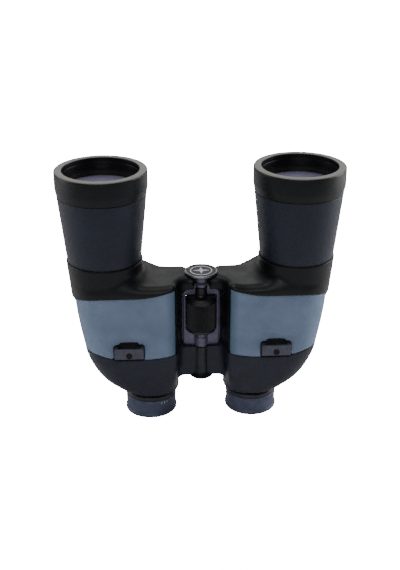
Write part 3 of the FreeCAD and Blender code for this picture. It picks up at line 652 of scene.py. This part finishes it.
def make_piece(name, points, faces, side=1, sharp=35.0):
    faces = [list(map(int, face)) for face in faces]
    if side < 0:
        faces = [face[::-1] for face in faces]
    mesh = bpy.data.meshes.new(name)
    mesh.from_pydata(to_frame(points, side).tolist(), [], faces)
    mesh.polygons.foreach_set("use_smooth", [True] * len(mesh.polygons))
    mesh.set_sharp_from_angle(angle=math.radians(sharp))
    piece = bpy.data.objects.new(name, mesh)
    bpy.context.scene.collection.objects.link(piece)
    return piece


def finish_piece(piece, body, material, *replaced):
    """Gives a piece its material and its body, and hides the nodes of the imported model that it stands in
    for.
    """
    piece.data.materials.append(material)
    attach(piece, body)
    if replaced:
        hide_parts(*replaced)
    return piece


def cleaned(piece):
    mesh = bmesh.new()
    mesh.from_mesh(piece.data)
    bmesh.ops.remove_doubles(mesh, verts=mesh.verts, dist=WELD_DISTANCE)
    bmesh.ops.recalc_face_normals(mesh, faces=mesh.faces)
    mesh.to_mesh(piece.data)
    mesh.free()
    return piece


def arc(here, before, after, radius):
    """Points round the corner at here, between the points before and after."""
    into = (np.subtract(before, here)) / np.linalg.norm(np.subtract(before, here))
    out = (np.subtract(after, here)) / np.linalg.norm(np.subtract(after, here))
    half = math.acos(np.clip(np.dot(into, out), -1, 1)) / 2
    centre = here + (into + out) / np.linalg.norm(into + out) * radius / math.sin(half)
    first = here + into * radius / math.tan(half) - centre
    last = here + out * radius / math.tan(half) - centre
    start = math.atan2(first[1], first[0])
    turn = (math.atan2(last[1], last[0]) - start + math.pi) % (2 * math.pi) - math.pi
    angles = start + turn * np.linspace(0, 1, CORNER_STEPS)
    return [tuple(centre + radius * np.array([math.cos(a), math.sin(a)])) for a in angles]


def rounded_outline(corners):
    """Closed outline from (u, v, corner radius) points."""
    outline = []
    for i, (u, v, radius) in enumerate(corners):
        if radius > 0:
            before = corners[i - 1][:2]
            after = corners[(i + 1) % len(corners)][:2]
            outline += arc(np.array([u, v], float), before, after, radius)
        else:
            outline.append((u, v))
    return outline


def lathe(name, profile, centre=(0.0, 0.0), side=1, ripple=None, steps=LATHE_STEPS):
    """Closed turned piece from a profile of (radius, height, corner radius) points.
    ripple gives what is added to a radius at an angle."""
    outline = rounded_outline(profile)
    points = []
    for k in range(steps):
        angle = 2 * math.pi * k / steps
        for r, z in outline:
            out = r + (ripple(angle, r) if ripple else 0.0)
            points.append((centre[0] + out * math.cos(angle), centre[1] + out * math.sin(angle), z))
    n = len(outline)
    faces = []
    for k in range(steps):
        j = (k + 1) % steps
        for i in range(n):
            m = (i + 1) % n
            if max(outline[i][0], outline[m][0]) > 0:
                faces.append((k * n + i, j * n + i, j * n + m, k * n + m))
    return cleaned(make_piece(name, points, faces, side))


def flat(u, v, height):
    """Place for a plate that lies level."""
    return u, v, height


def plate(name, outline, heights, edge, place, side=1):
    """Flat plate of that outline with bevelled edges. place turns (u, v, height) into a point."""
    low, high = heights
    n = len(outline)
    points = [place(u, v, low) for u, v in outline] + [place(u, v, high) for u, v in outline]
    faces = [list(range(n))[::-1], list(range(n, 2 * n))]
    faces += [(i, (i + 1) % n, (i + 1) % n + n, i + n) for i in range(n)]
    piece = make_piece(name, points, faces, side)
    mesh = bmesh.new()
    mesh.from_mesh(piece.data)
    bmesh.ops.recalc_face_normals(mesh, faces=mesh.faces)
    edges = [e for e in mesh.edges if e.calc_face_angle(0.0) > math.radians(BEVEL_OVER)]
    bmesh.ops.bevel(
        mesh, geom=edges, offset=edge * MM, segments=BEVEL_STEPS, profile=0.5, affect="EDGES"
    )
    mesh.to_mesh(piece.data)
    mesh.free()
    piece.data.polygons.foreach_set("use_smooth", [True] * len(piece.data.polygons))
    piece.data.set_sharp_from_angle(angle=math.radians(BEVEL_OVER))
    return piece


# ---------------------------------------------------------------- materials


def colour(red, green, blue):
    """Display colour, 0 to 255, as the linear colour of a shader, by the sRGB curve."""
    linear = []
    for value in (red, green, blue):
        v = value / 255
        linear.append(v / 12.92 if v <= 0.04045 else ((v + 0.055) / 1.055) ** 2.4)
    return (*linear, 1.0)


class Graph:
    """Node tree of one material, with links made by naming sockets."""

    def __init__(self, name):
        self.material = bpy.data.materials.new(f"{name}_look")
        self.material["slot"] = name
        self.material.use_nodes = True
        self.tree = self.material.node_tree
        self.shader = self.tree.nodes["Principled BSDF"]
        self.place = self.add("ShaderNodeTexCoord").outputs["Object"]

    def add(self, kind, **values):
        node = self.tree.nodes.new(kind)
        for key, value in values.items():
            setattr(node, key, value)
        return node

    def link(self, output, node, socket):
        self.tree.links.new(output, node.inputs[socket])

    def noise(self, size_mm, detail=2.0, stretch=(1, 1, 1)):
        """Noise whose features are about size_mm across."""
        scale = self.add("ShaderNodeMapping")
        scale.inputs["Scale"].default_value = stretch
        self.link(self.place, scale, "Vector")
        node = self.add("ShaderNodeTexNoise")
        node.inputs["Scale"].default_value = 1.0 / (size_mm * MM)
        node.inputs["Detail"].default_value = detail
        self.link(scale.outputs["Vector"], node, "Vector")
        return node.outputs["Fac"]

    def spread(self, value, low, high, start=0.3, end=0.7):
        node = self.add("ShaderNodeMapRange")
        node.inputs["From Min"].default_value = start
        node.inputs["From Max"].default_value = end
        node.inputs["To Min"].default_value = low
        node.inputs["To Max"].default_value = high
        self.link(value, node, "Value")
        return node.outputs["Result"]

    def blend(self, factor, first, second):
        node = self.add("ShaderNodeMix", data_type="RGBA")
        self.link(factor, node, "Factor")
        for socket, value in (("A", first), ("B", second)):
            port = [p for p in node.inputs if p.name == socket and p.type == "RGBA"][0]
            if isinstance(value, tuple):
                port.default_value = value
            else:
                self.tree.links.new(value, port)
        return [p for p in node.outputs if p.type == "RGBA"][0]

    def bump(self, height, depth_mm, strength):
        node = self.add("ShaderNodeBump")
        node.inputs["Distance"].default_value = depth_mm * MM
        node.inputs["Strength"].default_value = strength
        self.link(height, node, "Height")
        self.link(node.outputs["Normal"], self.shader, "Normal")


def finish(name, dark, pale, roughness, specular, grain_mm, depth_mm, patch_mm=9.0, metallic=0.0,
           stretch=(1, 1, 1)):
    """Finish whose colour drifts between two tones, with fine grain in its height and its gloss."""
    g = Graph(name)
    patches = g.noise(patch_mm, PATCH_DETAIL, stretch)
    grain = g.noise(grain_mm, GRAIN_DETAIL, stretch)
    tone = g.blend(g.spread(patches, 0.0, 1.0), colour(*dark), colour(*pale))
    speckled = g.blend(g.spread(grain, 0.0, SPECKLE, *SPECKLE_RANGE), tone, colour(*pale))
    g.link(speckled, g.shader, "Base Color")
    low, high = roughness
    g.link(g.spread(patches, low, high), g.shader, "Roughness")
    g.shader.inputs["Specular IOR Level"].default_value = specular
    g.shader.inputs["Metallic"].default_value = metallic
    g.bump(grain, depth_mm, GRAIN_STRENGTH)
    return g.material


def glass(name, tint, roughness, clear, coat):
    """Coated glass, with faint dust on it."""
    g = Graph(name)
    dust = g.noise(DUST_MM, DUST_DETAIL)
    cover = g.spread(dust, 0.0, DUST_AMOUNT, *DUST_RANGE)
    g.link(g.blend(cover, colour(*tint), colour(*DUST_COLOUR)), g.shader, "Base Color")
    dull = g.spread(dust, roughness, roughness + DUST_ROUGHNESS, *DUST_ROUGHNESS_RANGE)
    g.link(dull, g.shader, "Roughness")
    g.shader.inputs["Transmission Weight"].default_value = clear
    g.shader.inputs["IOR"].default_value = GLASS_IOR
    g.shader.inputs["Coat Weight"].default_value = coat
    g.shader.inputs["Coat Roughness"].default_value = COAT_ROUGHNESS
    g.shader.inputs["Coat Tint"].default_value = colour(*COAT_COLOUR)
    return g.material


def over_colour(material, fade, shade):
    """Blends a finish's colour towards another one. fade makes the factor from the object's place."""
    tree = material.node_tree
    shader = tree.nodes["Principled BSDF"]
    base = shader.inputs["Base Color"].links[0].from_socket
    axes = tree.nodes.new("ShaderNodeSeparateXYZ")
    place = [node for node in tree.nodes if node.type == "TEX_COORD"][0]
    tree.links.new(place.outputs["Object"], axes.inputs["Vector"])
    mix = tree.nodes.new("ShaderNodeMix")
    mix.data_type = "RGBA"
    tree.links.new(fade(tree, axes), mix.inputs["Factor"])
    ports = [port for port in mix.inputs if port.type == "RGBA"]
    tree.links.new(base, ports[0])
    ports[1].default_value = shade
    tree.links.new([port for port in mix.outputs if port.type == "RGBA"][0], shader.inputs["Base Color"])
    return material


def fade_between(tree, value, start_mm, end_mm):
    node = tree.nodes.new("ShaderNodeMapRange")
    node.inputs["From Min"].default_value = start_mm * MM
    node.inputs["From Max"].default_value = end_mm * MM
    tree.links.new(value, node.inputs["Value"])
    return node.outputs["Result"]


def black_rubber():
    return finish("black_rubber", (5, 6, 9), (9, 10, 14), (0.38, 0.48), 0.25, 0.35, 0.03)


def rim_rubber():
    """Black rubber with a painted highlight, a pale warm grey, along the lip of the hood."""
    material = finish("black_rubber", (5, 6, 9), (9, 10, 14), (0.36, 0.46), 0.25, 0.35, 0.03)
    material.name = "rim_rubber_look"

    def towards_lip(tree, axes):
        return fade_between(tree, axes.outputs["Z"], RIM_Z - LIP_HIGHLIGHT, RIM_Z)

    # Painted highlight: the top of the lip is blended towards a pale warm grey.
    return over_colour(material, towards_lip, colour(112, 111, 107))


def slate_rubber():
    return finish("slate_rubber", (22, 25, 37), (31, 35, 49), (0.4, 0.5), 0.3, 0.35, 0.03)


def barrel_rubber():
    return finish("barrel_rubber", (21, 25, 38), (29, 34, 49), (0.42, 0.52), 0.28, 0.4, 0.03, 14.0)


def blue_panel():
    """Blue-grey rubber, with painted shade that darkens it along its edge in the valley."""

    def towards_valley(tree, axes):
        across = tree.nodes.new("ShaderNodeMath")
        across.operation = "ABSOLUTE"
        tree.links.new(axes.outputs["X"], across.inputs[0])
        return fade_between(tree, across.outputs[0], *VALLEY_SHADE_X)

    material = finish("blue_panel", (100, 116, 140), (114, 131, 156), (0.48, 0.58), 0.26, 0.45, 0.035, 16.0)
    # Painted shade: the panel is blended towards a darker blue near the valley.
    return over_colour(material, towards_valley, colour(70, 92, 114))


def eyecup_rubber():
    return finish("eyecup_rubber", (58, 62, 82), (80, 86, 108), (0.42, 0.55), 0.3, 0.3, 0.03)


def housing_plastic():
    return finish("housing_plastic", (24, 25, 29), (33, 34, 38), (0.5, 0.6), 0.3, 0.6, 0.03)


def grey_casting():
    return finish("grey_casting", (86, 86, 107), (102, 102, 124), (0.38, 0.5), 0.45, 0.5, 0.04, 5.0, 0.2)


def lug_metal():
    """The strap lug's darker coating, in the slot of the other grey castings."""
    material = finish("grey_casting", (62, 63, 76), (78, 79, 93), (0.34, 0.46), 0.45, 0.4, 0.04, 4.0, 0.3)
    material.name = "lug_metal_look"
    return material


def ring_plastic():
    return finish("ring_plastic", (30, 31, 37), (42, 43, 50), (0.32, 0.42), 0.4, 0.5, 0.02, 6.0)


def black_anodised():
    return finish("black_anodised", (14, 14, 16), (22, 22, 25), (0.5, 0.62), 0.2, 0.3, 0.02, 6.0)


def spring_steel():
    return finish("spring_steel", (120, 122, 126), (150, 152, 156), (0.28, 0.4), 0.5, 0.3, 0.02, 4.0, 0.9,
                  (1, 1, 6))


def bush_steel():
    return finish("bush_steel", (70, 72, 80), (98, 100, 108), (0.3, 0.42), 0.5, 0.3, 0.02, 3.0, 0.8)


def cap_plastic():
    return finish("cap_plastic", (30, 30, 36), (40, 41, 48), (0.4, 0.5), 0.35, 0.4, 0.02, 5.0)


def badge_metal():
    return finish("badge_metal", (96, 98, 104), (124, 126, 132), (0.25, 0.36), 0.5, 0.25, 0.015, 3.0, 0.85,
                  (6, 1, 1))


def pale_paint():
    """Pale filling of the marks, in the slot of the badge."""
    material = finish("badge_metal", (196, 197, 202), (222, 222, 226), (0.45, 0.6), 0.3, 0.2, 0.01, 2.0)
    material.name = "pale_paint_look"
    return material


def wheel_plastic():
    return finish("wheel_plastic", (22, 22, 26), (32, 32, 37), (0.34, 0.44), 0.38, 0.4, 0.02, 5.0)


def grip_rubber():
    return finish("grip_rubber", (20, 20, 23), (30, 30, 34), (0.46, 0.58), 0.3, 0.3, 0.02, 5.0)


def nut_brass():
    return finish("nut_brass", (150, 118, 62), (176, 142, 84), (0.3, 0.42), 0.5, 0.3, 0.02, 4.0, 0.85)


def lens_glass():
    return glass("lens_glass", (176, 175, 194), 0.06, 0.3, 0.8)


def prism_glass():
    return glass("prism_glass", (214, 220, 222), 0.03, 0.9, 0.2)


def all_materials():
    makers = (
        black_rubber, rim_rubber, slate_rubber, barrel_rubber, blue_panel, eyecup_rubber, housing_plastic,
        grey_casting, lug_metal, ring_plastic, black_anodised, spring_steel, bush_steel, cap_plastic,
        badge_metal, pale_paint, wheel_plastic, grip_rubber, nut_brass, lens_glass, prism_glass,
    )
    return {maker.__name__: maker() for maker in makers}


# ---------------------------------------------------------------- pieces


def body_of_half(side):
    return f"{side}_half"


def armour_skins(looks):
    net = surface_net(armour_field, GRID_LOW, GRID_HIGH, GRID_STEP)
    skins = {
        "front_armour": (front_keep, FRONT_PROUD, "black_rubber"),
        "side_panel": (panel_keep, 0.0, "blue_panel"),
        "rear_armour": (rear_keep, REAR_PROUD, "slate_rubber"),
    }
    for node, (keep, proud, material) in skins.items():
        points, faces = skin_piece(armour_field, net, keep, proud)
        for side, sign in SIDES.items():
            piece = make_piece(f"{side}_{node}_skin", points, faces, sign, SKIN_SHARP)
            finish_piece(piece, body_of_half(side), looks[material], f"{side}_{node}")


def brackets(looks):
    for side, sign in SIDES.items():
        points, faces = surface_net(
            bracket_field(side), BRACKET_GRID_LOW, BRACKET_GRID_HIGH, BRACKET_GRID_STEP
        )
        piece = make_piece(f"{side}_bracket_casting", points, faces, sign, SKIN_SHARP)
        finish_piece(piece, body_of_half(side), looks["grey_casting"], f"{side}_hinge_bracket")


def rim_bumpers(looks):
    profile = [
        (29.5, 165.4, 0), (30.1, 165.4, 0.3), (30.95, 170.4, 4.0), (31.0, RIM_Z, 1.1),
        (25.7, RIM_Z, 0.5), (25.7, 178.6, 0.1), (25.9, 178.3, 0.1), (25.7, 178.0, 0.1),
        (25.55, 174.05, 0), (28.7, 174.05, 0), (28.7, 167.6, 0), (29.5, 167.6, 0),
    ]
    for side, sign in SIDES.items():
        piece = lathe(f"{side}_rim_bumper_rubber", profile, OBJECTIVE, sign)
        finish_piece(piece, body_of_half(side), looks["rim_rubber"], f"{side}_rim_bumper")


def barrels(looks):
    profile = [
        (17.9, 101.5, 0), (20.0, 101.5, 0), (20.0, 118.9, 0), (25.3, 118.9, 0.5), (30.0, 164.9, 0.4),
        (29.3, 165.2, 0.1), (29.3, 167.5, 0), (28.6, 167.5, 0), (28.6, 174.0, 0),
        (27.05, 174.0, 0), (27.05, 159.9, 0), (26.0, 159.9, 0),
    ]
    for side, sign in SIDES.items():
        piece = lathe(f"{side}_barrel_rubber_shell", profile, OBJECTIVE, sign)
        finish_piece(piece, body_of_half(side), looks["barrel_rubber"], f"{side}_objective_barrel")


def retainers(looks):
    profile = [
        (24.95, 169.95, 0), (24.95, 172.6, 0), (24.6, 172.6, 0.1), (24.5, 172.0, 0.1), (24.35, 172.0, 0.1),
        (24.3, 171.2, 0.1), (24.15, 171.2, 0.1), (24.0, 169.95, 0),
    ]
    for side, sign in SIDES.items():
        piece = lathe(f"{side}_retainer_ring", profile, OBJECTIVE, sign)
        finish_piece(piece, body_of_half(side), looks["black_anodised"], f"{side}_objective_retainer")


def body_of_eyepiece(side):
    """Body that the eyecup and ring of a half ride on."""
    return "left_diopter" if side == "left" else "right_ocular"


def eyecups(looks):
    for side, sign in SIDES.items():
        bore = EYE_BORE_R[side]
        cup = [
            (14.3, 0.0, 0.7), (18.6, 0.0, 0.9), (18.6, 2.0, 0.7), (17.9, 3.2, 1.2), (17.9, 7.5, 8.0),
            (18.2, 13.2, 0.7), (16.8, 13.2, 0.1), (16.8, 13.55, 0), (bore, 13.55, 0), (bore, 8.8, 0),
            (14.3, 8.8, 0.3),
        ]
        ring = [(bore, 13.65, 0), (18.0, 13.65, 0.35), (18.2, 14.9, 2.0), (17.9, 16.2, 0.5), (bore, 16.2, 0)]
        body = body_of_eyepiece(side)
        piece = lathe(f"{side}_eyecup_rubber", cup, EYEPIECE, sign)
        finish_piece(piece, body, looks["eyecup_rubber"], f"{side}_eyecup")
        piece = lathe(f"{side}_eyepiece_ring_turned", ring, EYEPIECE, sign)
        finish_piece(piece, body, looks["ring_plastic"], f"{side}_eyepiece_ring")


def diopter_marks(looks):
    """Three plain index marks near the top of the eyecup that turns."""
    for i, (angle, half_h) in enumerate(zip(MARK_ANGLES, MARK_HALF_H)):
        a = math.radians(angle)
        out = np.array([math.cos(a), math.sin(a), 0.0])
        along = np.array([-math.sin(a), math.cos(a), 0.0])
        start = np.array([EYEPIECE[0], EYEPIECE[1], MARK_Z]) + out * MARK_R
        outline = [
            (-MARK_HALF_W, -half_h), (MARK_HALF_W, -half_h), (MARK_HALF_W, half_h), (-MARK_HALF_W, half_h),
        ]

        def place(u, v, h, start=start, along=along, out=out):
            return start + along * u + out * h + np.array([0, 0, v])

        piece = plate(f"left_diopter_mark_{i + 1}", outline, MARK_DEPTH, MARK_EDGE, place, SIDES["left"])
        finish_piece(piece, "left_diopter", looks["pale_paint"])


def strap_lugs(looks):
    outline = [
        (40.8, -23.6), (60.8, -23.6), (60.8, -16.7), (58.5, -16.7), (58.5, -21.4), (43.1, -21.4),
        (43.1, -16.7), (40.8, -16.7),
    ]
    for side, sign in SIDES.items():
        bar = plate(f"{side}_strap_bar", outline, STRAP_BAR_Z, STRAP_BAR_EDGE, flat, sign)
        finish_piece(bar, body_of_half(side), looks["lug_metal"], f"{side}_strap_lug")


def rear_cap(looks):
    profile = [
        (0.0, 25.9, 0), (5.2, 25.9, 1.2), (8.3, 27.6, 0.6), (8.3, 28.6, 0.3), (4.95, 28.6, 0),
        (4.95, 29.0, 0), (0.0, 29.0, 0),
    ]
    piece = lathe("rear_end_cap_turned", profile)
    finish_piece(piece, "left_half", looks["cap_plastic"], "rear_end_cap")


def focus_wheels(looks):
    core = [
        (0.0, 62.6, 0), (4.0, 62.6, 0), (4.0, 64.0, 0), (10.4, 64.0, 0.5), (10.4, 66.0, 0), (9.45, 66.0, 0),
        (9.45, 86.2, 0), (10.7, 86.2, 0.3), (10.6, 90.4, 1.8), (4.6, 90.4, 0.2), (4.2, 91.2, 0.2),
        (3.9, 96.6, 0), (1.2, 96.6, 0), (1.2, 98.6, 0), (0.0, 98.6, 0),
    ]
    piece = lathe("focus_wheel_core", core)
    finish_piece(piece, "focus_wheel", looks["wheel_plastic"], "focus_wheel")

    def teeth(angle, r):
        if r < TOOTH_FROM_R:
            return 0.0
        wave = 0.5 + 0.5 * math.cos(GRIP_TEETH * angle)
        return -GRIP_DEPTH * wave**TOOTH_SHARPNESS

    low, high = GRIP_Z
    sleeve = [
        (GRIP_BORE_R, low, 0), (GRIP_R, low, GRIP_EDGE), (GRIP_R, high, GRIP_EDGE), (GRIP_BORE_R, high, 0),
    ]
    piece = lathe("wheel_grip_teeth", sleeve, ripple=teeth, steps=GRIP_TEETH * STEPS_PER_TOOTH)
    finish_piece(piece, "focus_wheel", looks["grip_rubber"], "wheel_grip")


def badge(looks):
    rim = [
        (9.9, 108.15, 0), (10.4, 108.15, 0), (10.4, 107.8, 0), (11.6, 107.8, 0.2), (11.6, 108.75, 0.25),
        (11.0, 109.2, 0.25), (10.3, 109.2, 0.2), (10.0, 108.7, 0.1), (9.9, 108.7, 0),
    ]
    piece = lathe("cap_badge_rim", rim)
    finish_piece(piece, "tripod_cap", looks["badge_metal"], "cap_badge")
    face = [(0.0, 108.15, 0), (9.88, 108.15, 0), (9.88, 108.75, 0), (0.0, 108.85, 0)]
    piece = lathe("cap_badge_face", face)
    finish_piece(piece, "tripod_cap", looks["cap_plastic"])
    ring = [(6.9, 108.7, 0), (7.7, 108.7, 0), (7.7, 109.05, 0.1), (6.9, 109.05, 0.1)]
    piece = lathe("cap_badge_ring", ring)
    finish_piece(piece, "tripod_cap", looks["pale_paint"])
    star = []
    for k in range(2 * STAR_POINTS):
        a = math.pi * k / STAR_POINTS
        r = STAR_R[k % 2]
        star.append((r * math.cos(a), r * math.sin(a)))
    piece = plate("cap_badge_star", star, STAR_Z, STAR_EDGE, flat)
    finish_piece(piece, "tripod_cap", looks["pale_paint"])


CAD_FINISH = {
    "prism_housing": "housing_plastic", "objective_cell": "black_anodised", "crown_lens": "lens_glass",
    "flint_lens": "prism_glass", "prism_shelf": "black_anodised", "objective_prism": "prism_glass",
    "ocular_prism": "prism_glass", "prism_clips": "spring_steel", "lug_rivet": "black_anodised",
    "eyepiece_tube": "black_anodised", "field_lens": "prism_glass",
    "eye_lens": "lens_glass", "eye_lens_cell": "black_anodised", "yoke_arm": "grey_casting",
    "hinge_boss": "housing_plastic", "tripod_bush": "bush_steel", "tripod_cap": "grey_casting",
    "focus_spindle": "spring_steel", "focus_nut": "nut_brass", "pivot_sleeve": "bush_steel",
    "hinge_cover": "cap_plastic",
}


def dress_cad(nodes, looks):
    """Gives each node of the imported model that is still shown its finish."""
    for name, node in nodes.items():
        kind = name.removeprefix("left_").removeprefix("right_")
        if kind in CAD_FINISH:
            material = looks[CAD_FINISH[kind]]
            node.data.materials.clear()
            node.data.materials.append(material)


# ---------------------------------------------------------------- light, floor and camera


def area_light(name, place, aim, size, power):
    data = bpy.data.lights.new(name, "AREA")
    data.shape = "RECTANGLE"
    data.size, data.size_y = size
    data.energy = power
    light = bpy.data.objects.new(name, data)
    light.location = place
    light.rotation_euler = (Vector(aim) - Vector(place)).to_track_quat("-Z", "Y").to_euler()
    bpy.context.scene.collection.objects.link(light)


def studio():
    for light in LIGHTS:
        area_light(*light)


def world_light():
    """Dim surroundings that look white to the camera."""
    world = bpy.data.worlds.new("studio_world")
    world.use_nodes = True
    tree = world.node_tree
    background = tree.nodes["Background"]
    background.inputs["Color"].default_value = WORLD_COLOUR
    strength = tree.nodes.new("ShaderNodeMapRange")
    strength.inputs["To Min"].default_value = WORLD_STRENGTH
    strength.inputs["To Max"].default_value = FLOOR_GLOW
    camera_ray = tree.nodes.new("ShaderNodeLightPath").outputs["Is Camera Ray"]
    tree.links.new(camera_ray, strength.inputs["Value"])
    tree.links.new(strength.outputs["Result"], background.inputs["Strength"])
    bpy.context.scene.world = world


def floor():
    """Pale paper, lifted to white for the camera only, so that it doesn't light the object from below."""
    half = FLOOR_HALF
    mesh = bpy.data.meshes.new("floor")
    corners = [(-half, -half, 0), (half, -half, 0), (half, half, 0), (-half, half, 0)]
    mesh.from_pydata(corners, [], [(0, 1, 2, 3)])
    ground = bpy.data.objects.new("floor", mesh)
    bpy.context.scene.collection.objects.link(ground)
    g = Graph("floor_paper")
    g.shader.inputs["Base Color"].default_value = FLOOR_COLOUR
    g.shader.inputs["Roughness"].default_value = FLOOR_ROUGHNESS
    g.shader.inputs["Specular IOR Level"].default_value = FLOOR_SPECULAR
    g.shader.inputs["Emission Color"].default_value = (1.0, 1.0, 1.0, 1.0)
    camera_ray = g.add("ShaderNodeLightPath").outputs["Is Camera Ray"]
    g.link(g.spread(camera_ray, 0.0, FLOOR_GLOW, 0.0, 1.0), g.shader, "Emission Strength")
    mesh.materials.append(g.material)


def camera():
    azimuth = math.radians(CAMERA_AZIMUTH)
    height = math.radians(CAMERA_ELEVATION)
    back = Vector((
        math.sin(azimuth) * math.cos(height),
        -math.cos(azimuth) * math.cos(height),
        math.sin(height),
    ))
    right = Vector((0, 0, 1)).cross(back).normalized()
    up = back.cross(right)
    roll = math.radians(CAMERA_ROLL)
    right, up = right * math.cos(roll) + up * math.sin(roll), up * math.cos(roll) - right * math.sin(roll)
    target = Vector(CAMERA_TARGET) + Vector((0, HINGE_Y, 0))
    place = (target + back * CAMERA_DISTANCE) * MM
    data = bpy.data.cameras.new("camera")
    data.lens = CAMERA_LENS
    data.sensor_width = SENSOR_WIDTH
    data.shift_x, data.shift_y = CAMERA_SHIFT
    data.clip_start = CLIP_START
    view = bpy.data.objects.new("camera", data)
    view.matrix_world = Matrix((
        (right.x, up.x, back.x, place.x),
        (right.y, up.y, back.y, place.y),
        (right.z, up.z, back.z, place.z),
        (0, 0, 0, 1),
    ))
    bpy.context.scene.collection.objects.link(view)
    bpy.context.scene.camera = view


# ---------------------------------------------------------------- the scene


def build(nodes):
    looks = all_materials()
    dress_cad(nodes, looks)
    armour_skins(looks)
    rim_bumpers(looks)
    barrels(looks)
    retainers(looks)
    eyecups(looks)
    diopter_marks(looks)
    strap_lugs(looks)
    brackets(looks)
    rear_cap(looks)
    focus_wheels(looks)
    badge(looks)
    world_light()
    studio()
    floor()
    camera()


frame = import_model()
build(frame["nodes"])
